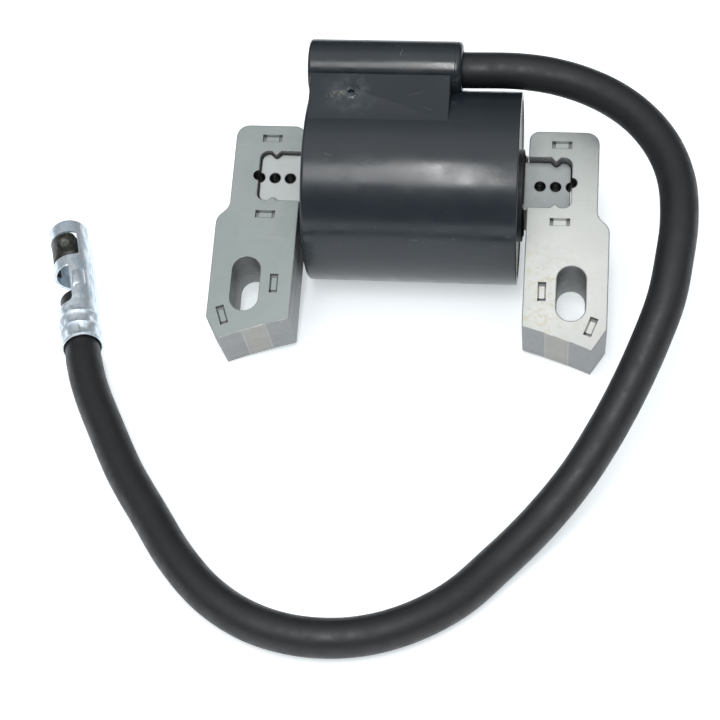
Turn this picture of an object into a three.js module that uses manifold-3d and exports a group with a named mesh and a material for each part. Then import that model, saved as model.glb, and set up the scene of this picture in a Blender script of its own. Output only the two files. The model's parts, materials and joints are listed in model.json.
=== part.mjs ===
// Ignition coil of a small air-cooled engine: a potted coil on a laminated two-leg armature,
// with its spark plug lead and the push-on terminal at the lead's end.
// Units are millimetres, +Z is up. The coil lies on a table as it would on a bench: the round
// housing and the tips of both legs touch z = 0, and the lead runs round in front of it.
import * as THREE from 'three';
import { mergeVertices } from 'three/addons/utils/BufferGeometryUtils.js';
import Module from 'manifold-3d';

const DEG = Math.PI / 180;
const wasm = await Module();
wasm.setup();

// ---------------------------------------------------------------- driving dimensions

const CLEARANCE = 0.3; // gap between pieces that touch on the real object

// Laminated armature. Its own frame: x along the coil, y up the legs, z out of the sheets.
const SHEET = 0.64; // one steel sheet
const LEG_SHEETS = 20;
const BAR_SHEETS = 15;
const LEG_INNER_X = 22; // inner edge of a leg
const LEG_UPPER_X = 35.5; // outer edge beside the coil
const LEG_LOWER_X = 37.9; // outer edge below the shoulder
const LEG_TOP_Y = 10.8;
const SHOULDER_Y = -6.1; // where the wider foot begins
const SHOULDER_DROP = 4;
const SHOULDER_EASE = 0.7; // how far each handle of the shoulder's S curve reaches
const TOP_OUTER_RADIUS = 2.5;
const TOP_INNER_RADIUS = 1.9;
const POLE_INNER_X = 22.3;
const POLE_TIP_X = 35.1;
const POLE_TIP_Y = -34.4;
const CHAMFER_RISE = 4.4;
const FLYWHEEL_RADIUS = 88.6; // radius that the pole faces are cut to
const SLOT_SPACING = 62;
const SLOT_WIDTH = 5.5;
const SLOT_LENGTH = 11.1;
const SLOT_Y = -22.9;
const BAR_HEIGHT = 10.2;
const BAR_HALF_LENGTH = 30.2;
const BAR_CORNER = 1.5;
const RIVET_HOLE = 2.1; // diameter of the small tooling holes
const RIVET_INNER_X = 24.3;
const RIVET_OUTER_X = 27.3;
const TOOTH_WIDTH = 1.8; // locking teeth of the leg that bite into the bar
const TOOTH_HEIGHT = 0.85;
const DIMPLE_LENGTH = 4;
const DIMPLE_WIDTH = 1.45;
const DIMPLE_DEPTH = 0.35;

// Potted coil.
const HOUSING_RADIUS = 18.87;
const HOUSING_WALL = 1.5;
const HOUSING_LEFT_X = -20.6;
const HOUSING_RIGHT_X = 20.4;
const HOUSING_RISE = 1.47; // housing axis above the core's
const HOUSING_EDGE = 1; // rounding of the closed end
const FLOOR = 1.6; // closed end's thickness
const SLEEVE_WALL = 0.63; // thinnest wall of the sleeve round the core
const SLEEVE_OVERHANG = 1;
const WEDGE = 1; // thickness of the wedges that hold the core
const PRIMARY_THICKNESS = 1.8;
const SECONDARY_WALL = 1;
const SECONDARY_UNDERFILL = 0.7; // how far the winding stays below the flanges
const SECONDARY_SLOTS = 5;
const FLANGE = 0.9;
const BOARD_SPACE = 5.4; // room for the electronics at the open end
const BOARD_THICKNESS = 1;
const BOARD_GAP = 0.8; // between the secondary bobbin and the board
const EARTH_ANGLE = -30; // degrees round the core, from the direction away from the legs' tips
const EARTH_THICKNESS = 0.6;
const EARTH_WIDTH = 4;
const EARTH_RADIUS = 10.6;
const WINDING_INSET = 1; // primary winding's ends inside the secondary bobbin's
const RESIN_DEPTH = 2.2;
const RESIN_RECESS = 0.5;

// Tower that the lead enters, beside the housing, and the flat block that carries it.
const TOWER_RADIUS = 5.5;
const TOWER_STANDOFF = 3.9; // tower axis above the housing's surface
const TOWER_ANGLE = 31.66; // degrees round the housing, as for the strip
const TOWER_LEFT_X = -21.1;
const TOWER_RIGHT_X = 8.7;
const TOWER_EDGE = 1.1;
const TOWER_BORE_DEPTH = 22;
const BLOCK_LEFT_X = -20.1;
const BLOCK_RIGHT_X = 6.8;
const BLOCK_STEP = 4.45; // block's upper edge below the tower's axis
const BLOCK_SINK = 0.72; // block's face below the housing's crest

// Spark plug lead and terminal.
const LEAD_DIAMETER = 7;
const LEAD_SEAT_DEPTH = 16; // length of lead inside the tower
const TAIL_STRAIGHT = 4; // straight stretch of lead before the terminal
const PIN_RADIUS = 0.8;
const LINK_INSET = 3; // link to the secondary winding, past the bore's closed end
const TERMINAL_LENGTH = 32.5;
const TERMINAL_RADIUS = 3.9;
const TERMINAL_WALL = 0.5;
const TERMINAL_RIB = 0.22; // how far the crimped rings stand proud
const CRIMP_SINK = 0.1; // how far the crimp between them is squeezed in
const CRIMP_RINGS = [0.5, 3.4, 6.4]; // distances of the rings from the tail
const RING_HALF = 0.6;
const MOUTH_EDGE = 0.3;
const TERMINAL_HEADING = 106.2; // degrees from +x to the terminal's mouth
const TERMINAL_TAIL = [-63.3, -24.2];
const CRIMP_LENGTH = 9.6;
const WINDOW_FROM = 22.4; // distances along the terminal from its tail
const WINDOW_TO = 29.2;
const WINDOW_TURN = 42; // degrees from the top towards the outer side
const WINDOW_REACH = 1.75; // distance of the window's chord from the axis
const CUTAWAY_TO = 19.8;
const CUTAWAY_REACH = 0.5;
const CUTAWAY_TURN = 90;
const LEAD_END = 13.2; // where the lead's rubber stops inside the terminal
const WIRE_LENGTH = 2.2;
const WIRE_RADIUS = 0.8;
const LEAF_FROM = 21.5; // the leaf's root, under the barrel's wall
const LEAF_TO = 28.9;
const SPRING_THICKNESS = 0.3;
const SPRING_DIMPLE = 1.3;
const DIMPLE_TURN = 12; // degrees from the top, as for the window
const DIMPLE_OFFSET = 0.5; // centre of the dimple's ball outside the leaf's inner face

// Points that the lead's centre line passes through, from the tower's mouth to the terminal.
const LEAD_ROUTE = [
  [20.5, 21.9, 37.01], [28.6, 20.1, 36.86], [36.3, 16.2, 36.54], [42.4, 10.8, 35.97],
  [46.9, 3.9, 35.15], [49.5, -4.2, 34.04], [50, -13.3, 32.36], [49.2, -20.7, 30.13],
  [47.9, -27.8, 27.1], [45.4, -34.4, 23.4], [42.1, -41.2, 18.9], [38, -48.2, 14.2],
  [33, -55.5, 9.7], [26.8, -63, 6.1], [19.9, -70.7, 4.08], [12.5, -78.8, 3.56],
  [3.6, -84.6, 3.55], [-4.9, -87.2, 3.55], [-13.8, -87.3, 3.55], [-22.3, -84.9, 3.55],
  [-30.1, -79.9, 3.55], [-37.3, -72.1, 3.55], [-43.3, -63.3, 3.55], [-49.6, -53.8, 3.56],
  [-55, -43.8, 3.65], [-59.7, -34.5, 3.93],
];

// ---------------------------------------------------------------- helpers

// A closed solid from a three.js geometry.
function solid(geometry) {
  const plain = new THREE.BufferGeometry();
  plain.setAttribute('position', geometry.getAttribute('position'));
  if (geometry.index) plain.setIndex(geometry.index);
  const merged = mergeVertices(plain, 1e-4);
  return new wasm.Manifold(new wasm.Mesh({
    numProp: 3,
    vertProperties: merged.attributes.position.array,
    triVerts: new Uint32Array(merged.index.array),
  }));
}

// The geometry of a solid that has been joined or cut.
function geometryOf(manifold) {
  const mesh = manifold.getMesh();
  const geometry = new THREE.BufferGeometry();
  geometry.setAttribute('position', new THREE.BufferAttribute(mesh.vertProperties, 3));
  geometry.setIndex(new THREE.BufferAttribute(mesh.triVerts, 1));
  return geometry;
}

// A box between two corners.
function block(from, to) {
  const low = new THREE.Vector3(...from);
  const high = new THREE.Vector3(...to);
  const size = high.clone().sub(low);
  const middle = low.clone().add(high).multiplyScalar(0.5);
  return new THREE.BoxGeometry(size.x, size.y, size.z).translate(middle.x, middle.y, middle.z);
}

// A round piece turned about the x axis from [x, radius] points. Points run from the low x,
// along the outside, to the high x. A profile that leaves the axis free is closed on itself.
function turned(profile, segments = 48) {
  const points = profile.map(([x, radius]) => new THREE.Vector2(radius, x));
  const onAxis = points[0].x === 0 && points[points.length - 1].x === 0;
  if (!onAxis) points.push(points[0].clone());
  return new THREE.LatheGeometry(points, segments).rotateZ(-Math.PI / 2);
}

// A ring or a plain tube along x.
function ring(fromX, toX, inner, outer, segments = 48) {
  return turned([[fromX, inner], [fromX, outer], [toX, outer], [toX, inner]], segments);
}

function rod(fromX, toX, radius, segments = 24) {
  return turned([[fromX, 0], [fromX, radius], [toX, radius], [toX, 0]], segments);
}

// A flat outline given thickness along z, centred on z = 0.
function plate(shape, thickness) {
  return new THREE.ExtrudeGeometry(shape, { depth: thickness, bevelEnabled: false, curveSegments: 8 })
    .translate(0, 0, -thickness / 2);
}

// An upright round cutter along z.
function drill(x, y, diameter, depth, segments = 20) {
  return new THREE.CylinderGeometry(diameter / 2, diameter / 2, depth, segments)
    .rotateX(Math.PI / 2)
    .translate(x, y, 0);
}

const PAINTS = {
  steel: { color: 0xa9aeab, roughness: 0.45, metalness: 0.85 },
  black_plastic: { color: 0x2b2f33, roughness: 0.45, metalness: 0 },
  grey_resin: { color: 0xa9a59b, roughness: 0.6, metalness: 0 },
  nylon: { color: 0x1f2022, roughness: 0.5, metalness: 0 },
  pale_plastic: { color: 0xd8d2c0, roughness: 0.5, metalness: 0 },
  copper: { color: 0xb5652e, roughness: 0.35, metalness: 0.9 },
  green_board: { color: 0x2c5a3a, roughness: 0.5, metalness: 0 },
  black_epoxy: { color: 0x1a1a1a, roughness: 0.4, metalness: 0 },
  brass: { color: 0xb8963e, roughness: 0.35, metalness: 0.9 },
  rubber: { color: 0x26282a, roughness: 0.7, metalness: 0 },
  zinc: { color: 0xc9d2da, roughness: 0.25, metalness: 0.95 },
  bronze: { color: 0x6b5d3f, roughness: 0.35, metalness: 0.9 },
};

// A named mesh with a material of its own.
function piece(name, shape, paint) {
  const geometry = shape.isBufferGeometry ? shape : geometryOf(shape);
  const mesh = new THREE.Mesh(geometry, new THREE.MeshStandardMaterial(PAINTS[paint]));
  mesh.name = name;
  return mesh;
}

// ---------------------------------------------------------------- worked-out sizes

const legThickness = SHEET * LEG_SHEETS;
const barThickness = SHEET * BAR_SHEETS;
const barHalf = BAR_HEIGHT / 2;
const pocketHalf = barHalf + CLEARANCE;
const pocketX = BAR_HALF_LENGTH + CLEARANCE;
const splitHoleX = BAR_HALF_LENGTH + CLEARANCE / 2; // half in the bar and half in the leg
const slotX = SLOT_SPACING / 2;
const flywheelY = POLE_TIP_Y - Math.sqrt(FLYWHEEL_RADIUS ** 2 - POLE_TIP_X ** 2);
const poleY = (x) => flywheelY + Math.sqrt(FLYWHEEL_RADIUS ** 2 - x ** 2);
const chamferY = POLE_TIP_Y + CHAMFER_RISE;

// Tilt at which the housing and the leg tips both touch the table.
const tipBack = HOUSING_RISE - POLE_TIP_Y;
const tipDown = legThickness / 2;
const tilt = Math.asin(HOUSING_RADIUS / Math.hypot(tipBack, tipDown)) - Math.atan2(tipDown, tipBack);
const coreHeight = tipDown * Math.cos(tilt) - POLE_TIP_Y * Math.sin(tilt);

const sleeveHalfZ = barThickness / 2 + WEDGE + CLEARANCE * 2;
const sleeveRadius = Math.hypot(pocketHalf, sleeveHalfZ) + SLEEVE_WALL;
const cavityRadius = HOUSING_RADIUS - HOUSING_WALL;
const cavityFloorX = HOUSING_LEFT_X + FLOOR;
const towerReach = HOUSING_RADIUS + TOWER_STANDOFF;
const towerY = HOUSING_RISE + towerReach * Math.cos(TOWER_ANGLE * DEG);
const towerZ = towerReach * Math.sin(TOWER_ANGLE * DEG);
const towerBoreX = TOWER_RIGHT_X - TOWER_BORE_DEPTH;
const blockFaceZ = HOUSING_RADIUS - BLOCK_SINK;
const leadRadius = LEAD_DIAMETER / 2;

// ---------------------------------------------------------------- laminated legs and core bar

// A locking tooth, or with extra room the notch that takes it, on a level edge. inward is the
// tooth's way in y and direction the outline's way in x, each +1 or -1.
function tooth(path, x, y, inward, direction, extra = 0) {
  const half = TOOTH_WIDTH / 2 + extra;
  path.lineTo(x - half * direction, y);
  path.lineTo(x, y + (TOOTH_HEIGHT + extra) * inward);
  path.lineTo(x + half * direction, y);
}

// Outline of the right leg. The left one is its mirror image.
function legOutline() {
  const path = new THREE.Shape();
  const innerAngle = Math.atan2(poleY(POLE_INNER_X) - flywheelY, POLE_INNER_X);
  const tipAngle = Math.atan2(POLE_TIP_Y - flywheelY, POLE_TIP_X);
  path.moveTo(POLE_INNER_X, poleY(POLE_INNER_X));
  path.absarc(0, flywheelY, FLYWHEEL_RADIUS, innerAngle, tipAngle, true);
  path.lineTo(LEG_LOWER_X, chamferY);
  path.lineTo(LEG_LOWER_X, SHOULDER_Y - SHOULDER_DROP);
  path.bezierCurveTo(
    LEG_LOWER_X, SHOULDER_Y - SHOULDER_DROP * (1 - SHOULDER_EASE),
    LEG_UPPER_X, SHOULDER_Y - SHOULDER_DROP * SHOULDER_EASE,
    LEG_UPPER_X, SHOULDER_Y,
  );
  path.absarc(LEG_UPPER_X - TOP_OUTER_RADIUS, LEG_TOP_Y - TOP_OUTER_RADIUS, TOP_OUTER_RADIUS,
    0, Math.PI / 2, false);
  path.absarc(LEG_INNER_X + TOP_INNER_RADIUS, LEG_TOP_Y - TOP_INNER_RADIUS, TOP_INNER_RADIUS,
    Math.PI / 2, Math.PI, false);
  path.lineTo(LEG_INNER_X, pocketHalf);
  tooth(path, RIVET_OUTER_X, pocketHalf, -1, 1);
  path.absarc(pocketX - BAR_CORNER, pocketHalf - BAR_CORNER, BAR_CORNER, Math.PI / 2, 0, true);
  path.absarc(pocketX - BAR_CORNER, BAR_CORNER - pocketHalf, BAR_CORNER, 0, -Math.PI / 2, true);
  tooth(path, RIVET_OUTER_X, -pocketHalf, 1, -1);
  path.lineTo(LEG_INNER_X, -pocketHalf);
  path.lineTo(LEG_INNER_X, SLOT_Y);
  path.closePath();
  return path;
}

// Where the sheets are pressed into each other: x, y and turn in degrees from the x axis.
const LEG_DIMPLES = [[28.3, 8, 0], [28.4, -8.3, 0], [25.5, -22.7, 90], [34.85, -29.5, 70]];

function legSolid() {
  let leg = solid(plate(legOutline(), legThickness));
  const slot = new THREE.Shape();
  const straight = SLOT_LENGTH / 2 - SLOT_WIDTH / 2;
  slot.absarc(slotX, SLOT_Y + straight, SLOT_WIDTH / 2, 0, Math.PI, false);
  slot.absarc(slotX, SLOT_Y - straight, SLOT_WIDTH / 2, Math.PI, Math.PI * 2, false);
  slot.closePath();
  leg = leg.subtract(solid(plate(slot, legThickness * 2)));
  leg = leg.subtract(solid(drill(splitHoleX, 0, RIVET_HOLE, legThickness * 2)));
  for (const [x, y, turn] of LEG_DIMPLES) {
    const cutter = block(
      [-DIMPLE_LENGTH / 2, -DIMPLE_WIDTH / 2, legThickness / 2 - DIMPLE_DEPTH],
      [DIMPLE_LENGTH / 2, DIMPLE_WIDTH / 2, legThickness],
    );
    leg = leg.subtract(solid(cutter.rotateZ(turn * DEG).translate(x, y, 0)));
  }
  return leg;
}

function barSolid() {
  const path = new THREE.Shape();
  const endX = BAR_HALF_LENGTH - BAR_CORNER;
  const side = barHalf - BAR_CORNER;
  path.moveTo(-endX, -barHalf);
  tooth(path, -RIVET_OUTER_X, -barHalf, 1, 1, CLEARANCE / 2);
  tooth(path, RIVET_OUTER_X, -barHalf, 1, 1, CLEARANCE / 2);
  path.absarc(endX, -side, BAR_CORNER, -Math.PI / 2, 0, false);
  path.absarc(endX, side, BAR_CORNER, 0, Math.PI / 2, false);
  tooth(path, RIVET_OUTER_X, barHalf, -1, -1, CLEARANCE / 2);
  tooth(path, -RIVET_OUTER_X, barHalf, -1, -1, CLEARANCE / 2);
  path.absarc(-endX, side, BAR_CORNER, Math.PI / 2, Math.PI, false);
  path.absarc(-endX, -side, BAR_CORNER, Math.PI, Math.PI * 1.5, false);
  let bar = solid(plate(path, barThickness));
  for (const x of [RIVET_INNER_X, RIVET_OUTER_X, splitHoleX]) {
    for (const end of [-x, x]) bar = bar.subtract(solid(drill(end, 0, RIVET_HOLE, barThickness * 2)));
  }
  return bar;
}

// ---------------------------------------------------------------- housing

function housingSolid() {
  const edge = HOUSING_EDGE;
  const steps = 4;
  const rounded = [];
  for (let i = 0; i <= steps; i += 1) {
    const angle = (i / steps) * Math.PI / 2;
    rounded.push([
      HOUSING_LEFT_X + edge * (1 - Math.sin(angle)),
      HOUSING_RADIUS - edge * (1 - Math.cos(angle)),
    ]);
  }
  rounded.reverse();
  const outside = [[HOUSING_LEFT_X, 0], ...rounded, [HOUSING_RIGHT_X, HOUSING_RADIUS], [HOUSING_RIGHT_X, 0]];
  let cup = solid(turned(outside, 64).translate(0, HOUSING_RISE, 0));
  const tower = [
    [TOWER_LEFT_X, 0], [TOWER_LEFT_X, TOWER_RADIUS - TOWER_EDGE / 2],
    [TOWER_LEFT_X + TOWER_EDGE / 2, TOWER_RADIUS], [TOWER_RIGHT_X - TOWER_EDGE, TOWER_RADIUS],
    [TOWER_RIGHT_X - TOWER_EDGE * 0.3, TOWER_RADIUS - TOWER_EDGE * 0.3],
    [TOWER_RIGHT_X, TOWER_RADIUS - TOWER_EDGE], [TOWER_RIGHT_X, 0],
  ];
  cup = cup.add(solid(turned(tower, 32).translate(0, towerY, towerZ)));
  cup = cup.add(solid(block([BLOCK_LEFT_X, 0, 0], [BLOCK_RIGHT_X, towerY - BLOCK_STEP, blockFaceZ])));
  cup = cup.add(solid(block([BLOCK_LEFT_X, 0, 0], [BLOCK_RIGHT_X, towerY, towerZ - TOWER_RADIUS / 2])));
  const cavity = rod(cavityFloorX, HOUSING_RIGHT_X + 1, cavityRadius, 64);
  cup = cup.subtract(solid(cavity.translate(0, HOUSING_RISE, 0)));
  const hole = rod(HOUSING_LEFT_X - 1, cavityFloorX + 1, sleeveRadius + CLEARANCE, 48);
  cup = cup.subtract(solid(hole));
  const bore = rod(towerBoreX, TOWER_RIGHT_X + 1, leadRadius + CLEARANCE, 32);
  cup = cup.subtract(solid(bore.translate(0, towerY, towerZ)));
  return cup.subtract(solid(linkShape(PIN_RADIUS + CLEARANCE, 1)));
}

// The passage and the link that join the secondary winding to the pin in the tower.
const linkX = towerBoreX + LINK_INSET;
const linkFrom = cavityRadius - CLEARANCE;
const linkTo = towerReach - PIN_RADIUS - CLEARANCE;

function linkShape(radius, extra) {
  return rod(linkFrom - extra, linkTo + extra, radius, 12)
    .rotateZ(Math.PI / 2)
    .rotateX(TOWER_ANGLE * DEG)
    .translate(linkX, HOUSING_RISE, 0);
}

// ---------------------------------------------------------------- windings and electronics

const windingFromX = cavityFloorX + CLEARANCE;
const windingToX = HOUSING_RIGHT_X - RESIN_RECESS - RESIN_DEPTH - BOARD_SPACE;
const resinFromX = HOUSING_RIGHT_X - RESIN_RECESS - RESIN_DEPTH;
const primaryInner = sleeveRadius + CLEARANCE;
const primaryOuter = primaryInner + PRIMARY_THICKNESS;
const secondaryInner = primaryOuter + CLEARANCE;
const secondaryHub = secondaryInner + SECONDARY_WALL;
const flangeRadius = cavityRadius - HOUSING_RISE - CLEARANCE;
const slotPitch = (windingToX - windingFromX - FLANGE) / SECONDARY_SLOTS;

// Sleeve that insulates the core bar and carries the primary winding.
function primaryBobbin() {
  const sleeve = solid(rod(HOUSING_LEFT_X - SLEEVE_OVERHANG, HOUSING_RIGHT_X + SLEEVE_OVERHANG,
    sleeveRadius, 48));
  const bore = block([-LEG_INNER_X, -pocketHalf, -sleeveHalfZ], [LEG_INNER_X, pocketHalf, sleeveHalfZ]);
  return sleeve.subtract(solid(bore));
}

// Spool with flanges that part the secondary winding into sections.
function secondaryBobbin() {
  const profile = [[windingFromX, secondaryInner]];
  for (let i = 0; i <= SECONDARY_SLOTS; i += 1) {
    const x = windingFromX + i * slotPitch;
    profile.push([x, flangeRadius], [x + FLANGE, flangeRadius]);
    if (i < SECONDARY_SLOTS) profile.push([x + FLANGE, secondaryHub], [x + slotPitch, secondaryHub]);
  }
  profile.push([windingToX, secondaryInner]);
  return turned(profile, 40);
}

const boardX = windingToX + BOARD_GAP;
const boardPartsX = boardX + BOARD_THICKNESS + CLEARANCE;

function boardShape() {
  return ring(boardX, boardX + BOARD_THICKNESS, sleeveRadius + CLEARANCE, flangeRadius, 40);
}

// A part that stands on the board at an angle round the core: its length along x, its width
// round the core and its depth along the radius.
function onBoard(angle, length, width, depth) {
  const middle = (sleeveRadius + flangeRadius) / 2;
  return block([boardPartsX, middle - depth / 2, -width / 2],
    [boardPartsX + length, middle + depth / 2, width / 2]).rotateX(angle * DEG);
}

// Earth strip: from the board, through the resin, to the inner edge of the right leg.
function earthStrip(extra) {
  const to = LEG_INNER_X - CLEARANCE;
  const half = EARTH_WIDTH / 2 + extra;
  return block([boardPartsX, EARTH_RADIUS - EARTH_THICKNESS / 2 - extra, -half],
    [to, EARTH_RADIUS + EARTH_THICKNESS / 2 + extra, half]).rotateX(EARTH_ANGLE * DEG);
}

function resinSolid() {
  const outer = cavityRadius - CLEARANCE;
  const disc = rod(resinFromX, resinFromX + RESIN_DEPTH, outer, 64).translate(0, HOUSING_RISE, 0);
  const hole = rod(resinFromX - 1, HOUSING_RIGHT_X + 1, sleeveRadius + CLEARANCE, 48);
  return solid(disc).subtract(solid(hole)).subtract(solid(earthStrip(CLEARANCE)));
}

// ---------------------------------------------------------------- terminal

// The terminal's own frame: x from its tail to its mouth, z up.
const boreRadius = TERMINAL_RADIUS - TERMINAL_WALL;

// A cutter that takes off one side of the barrel, beyond a chord.
function sideCutter(fromX, toX, reach, turnDegrees) {
  const width = TERMINAL_RADIUS * 1.2;
  return block([fromX, -width, reach], [toX, width, TERMINAL_RADIUS * 2])
    .rotateX(-turnDegrees * DEG);
}

function barrelSolid() {
  const crimped = TERMINAL_RADIUS - CRIMP_SINK;
  const profile = [[0, boreRadius], [0, TERMINAL_RADIUS]];
  for (const [i, x] of CRIMP_RINGS.entries()) {
    if (i > 0) profile.push([x - RING_HALF, crimped]);
    profile.push([x, TERMINAL_RADIUS + TERMINAL_RIB], [x + RING_HALF, crimped]);
  }
  profile.push([CRIMP_LENGTH + RING_HALF, TERMINAL_RADIUS],
    [TERMINAL_LENGTH - MOUTH_EDGE, TERMINAL_RADIUS], [TERMINAL_LENGTH, TERMINAL_RADIUS - MOUTH_EDGE / 2],
    [TERMINAL_LENGTH, boreRadius]);
  let barrel = solid(turned(profile, 32));
  barrel = barrel.subtract(solid(sideCutter(WINDOW_FROM, WINDOW_TO, WINDOW_REACH, WINDOW_TURN)));
  const cutaway = sideCutter(CRIMP_LENGTH, CUTAWAY_TO, CUTAWAY_REACH, CUTAWAY_TURN);
  return barrel.subtract(solid(cutaway));
}

// Curved leaf in the window, with a round dimple that snaps into the plug's groove.
function springSolid() {
  const outer = boreRadius - CLEARANCE;
  const inner = outer - SPRING_THICKNESS;
  const half = Math.acos(WINDOW_REACH / boreRadius) - CLEARANCE / outer;
  const arc = new THREE.Shape();
  arc.absarc(0, 0, outer, Math.PI / 2 - half, Math.PI / 2 + half, false);
  arc.absarc(0, 0, inner, Math.PI / 2 + half, Math.PI / 2 - half, true);
  arc.closePath();
  const options = { depth: LEAF_TO - LEAF_FROM, bevelEnabled: false, curveSegments: 12 };
  const leaf = new THREE.ExtrudeGeometry(arc, options)
    .rotateX(Math.PI / 2)
    .rotateZ(Math.PI / 2)
    .translate(LEAF_FROM, 0, 0);
  const middle = (WINDOW_FROM + WINDOW_TO) / 2;
  const bump = new THREE.SphereGeometry(SPRING_DIMPLE, 16, 10)
    .translate(middle, 0, inner + DIMPLE_OFFSET)
    .rotateX((WINDOW_TURN - DIMPLE_TURN) * DEG);
  const outsideCut = ring(LEAF_FROM, LEAF_TO, outer - SPRING_THICKNESS / 3, TERMINAL_RADIUS * 2);
  const both = solid(leaf).add(solid(bump).subtract(solid(outsideCut)));
  return geometryOf(both).rotateX(-WINDOW_TURN * DEG);
}

// ---------------------------------------------------------------- assembly

const coil = new THREE.Group();
const armature = new THREE.Group();
armature.rotation.x = tilt;
armature.position.z = coreHeight;
coil.add(armature);

const leg = legSolid();
armature.add(piece('right_leg_laminations', leg, 'steel'));
const leftLeg = geometryOf(leg).scale(-1, 1, 1);
leftLeg.setIndex(Array.from(leftLeg.index.array).reverse());
armature.add(piece('left_leg_laminations', leftLeg, 'steel'));
armature.add(piece('core_bar_laminations', barSolid(), 'steel'));

armature.add(piece('coil_housing', housingSolid(), 'black_plastic'));
armature.add(piece('potting_resin', resinSolid(), 'grey_resin'));
armature.add(piece('primary_bobbin', primaryBobbin(), 'nylon'));
armature.add(piece('primary_winding', ring(windingFromX + WINDING_INSET, windingToX - WINDING_INSET,
  primaryInner, primaryOuter), 'copper'));
armature.add(piece('secondary_bobbin', secondaryBobbin(), 'pale_plastic'));
for (let i = 0; i < SECONDARY_SLOTS; i += 1) {
  const from = windingFromX + i * slotPitch + FLANGE + CLEARANCE;
  const to = windingFromX + (i + 1) * slotPitch - CLEARANCE;
  const inner = secondaryHub + CLEARANCE;
  const outer = flangeRadius - SECONDARY_UNDERFILL;
  armature.add(piece(`secondary_winding_${i + 1}`, ring(from, to, inner, outer, 40), 'copper'));
}

const wedgeFrom = barThickness / 2 + CLEARANCE;
for (const [name, side] of [['core_wedge_front', 1], ['core_wedge_back', -1]]) {
  const low = Math.min(wedgeFrom * side, (wedgeFrom + WEDGE) * side);
  const wedge = block([HOUSING_LEFT_X, -barHalf, low], [HOUSING_RIGHT_X, barHalf, low + WEDGE]);
  armature.add(piece(name, wedge, 'pale_plastic'));
}

armature.add(piece('circuit_board', boardShape(), 'green_board'));
armature.add(piece('trigger_transistor', onBoard(60, 2.4, 5, 4), 'black_epoxy'));
armature.add(piece('driver_transistor', onBoard(120, 2.4, 5, 4), 'black_epoxy'));
armature.add(piece('bias_resistor', onBoard(170, 2, 6, 2), 'pale_plastic'));
armature.add(piece('feedback_resistor', onBoard(-10, 2, 6, 2), 'pale_plastic'));
armature.add(piece('damping_capacitor', onBoard(-60, 2.4, 5, 4), 'pale_plastic'));
armature.add(piece('earth_strip', earthStrip(0), 'zinc'));

armature.add(piece('high_tension_link', linkShape(PIN_RADIUS, 0), 'brass'));
const pinTo = TOWER_RIGHT_X - LEAD_SEAT_DEPTH - CLEARANCE;
const pin = turned([[towerBoreX + CLEARANCE, 0], [towerBoreX + CLEARANCE, PIN_RADIUS],
  [pinTo - 1, PIN_RADIUS], [pinTo, 0]], 16);
armature.add(piece('lead_contact_pin', pin.translate(0, towerY, towerZ), 'brass'));

// The model's origin is under the middle of the coil's footprint.
coil.updateMatrixWorld(true);
const footprint = new THREE.Box3().setFromObject(armature, true);
armature.position.x -= (footprint.min.x + footprint.max.x) / 2;
armature.position.y -= (footprint.min.y + footprint.max.y) / 2;
coil.updateMatrixWorld(true);

const terminal = new THREE.Group();
const terminalHeight = TERMINAL_RADIUS + TERMINAL_RIB;
terminal.position.set(...TERMINAL_TAIL, terminalHeight);
terminal.rotation.z = TERMINAL_HEADING * DEG;
coil.add(terminal);
terminal.add(piece('terminal_barrel', barrelSolid(), 'zinc'));
terminal.add(piece('retaining_spring', springSolid(), 'bronze'));
const crimpedRadius = boreRadius - CLEARANCE;
terminal.add(piece('crimped_lead_end', rod(CLEARANCE, LEAD_END, crimpedRadius), 'rubber'));
const wireFrom = LEAD_END + CLEARANCE;
terminal.add(piece('lead_wire_tip', rod(wireFrom, wireFrom + WIRE_LENGTH, WIRE_RADIUS, 12), 'copper'));
coil.updateMatrixWorld(true);

const mouth = armature.localToWorld(new THREE.Vector3(TOWER_RIGHT_X, towerY, towerZ));
const seat = armature.localToWorld(
  new THREE.Vector3(TOWER_RIGHT_X - LEAD_SEAT_DEPTH, towerY, towerZ));
const approach = terminal.localToWorld(new THREE.Vector3(-TAIL_STRAIGHT, 0, 0));
const tail = terminal.localToWorld(new THREE.Vector3(-CLEARANCE, 0, 0));
const route = [
  seat, seat.clone().lerp(mouth, 0.5), mouth,
  ...LEAD_ROUTE.map((point) => new THREE.Vector3(...point)),
  approach,
  tail,
];
const section = new THREE.Shape();
const SECTION_SIDES = 10;
for (let i = 0; i < SECTION_SIDES; i += 1) {
  const angle = (i / SECTION_SIDES) * Math.PI * 2;
  const corner = [leadRadius * Math.cos(angle), leadRadius * Math.sin(angle)];
  if (i === 0) section.moveTo(...corner);
  else section.lineTo(...corner);
}
section.closePath();
const centreLine = new THREE.CatmullRomCurve3(route, false, 'centripetal');
const lead = new THREE.ExtrudeGeometry(section, { steps: 56, extrudePath: centreLine, bevelEnabled: false });
coil.add(piece('spark_plug_lead', lead, 'rubber'));

export default coil;
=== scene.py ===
# %% [markdown]
# # An ignition coil for a small engine
#
# This lesson builds the looks of an ignition coil: two feet and a bar of punched steel sheets, a
# potted black coil round the bar, a thick rubber lead, and the push-on terminal at its end.
# A packed engineering model already holds every size and place, so the first step loads it as a
# fixed frame. Everything modelled here is placed from that frame, never fitted by eye.

# %% Load the frame
import json
import math
import random

import bmesh
import bpy
from mathutils import Matrix, Vector, noise
from mathutils.geometry import tessellate_polygon


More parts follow.
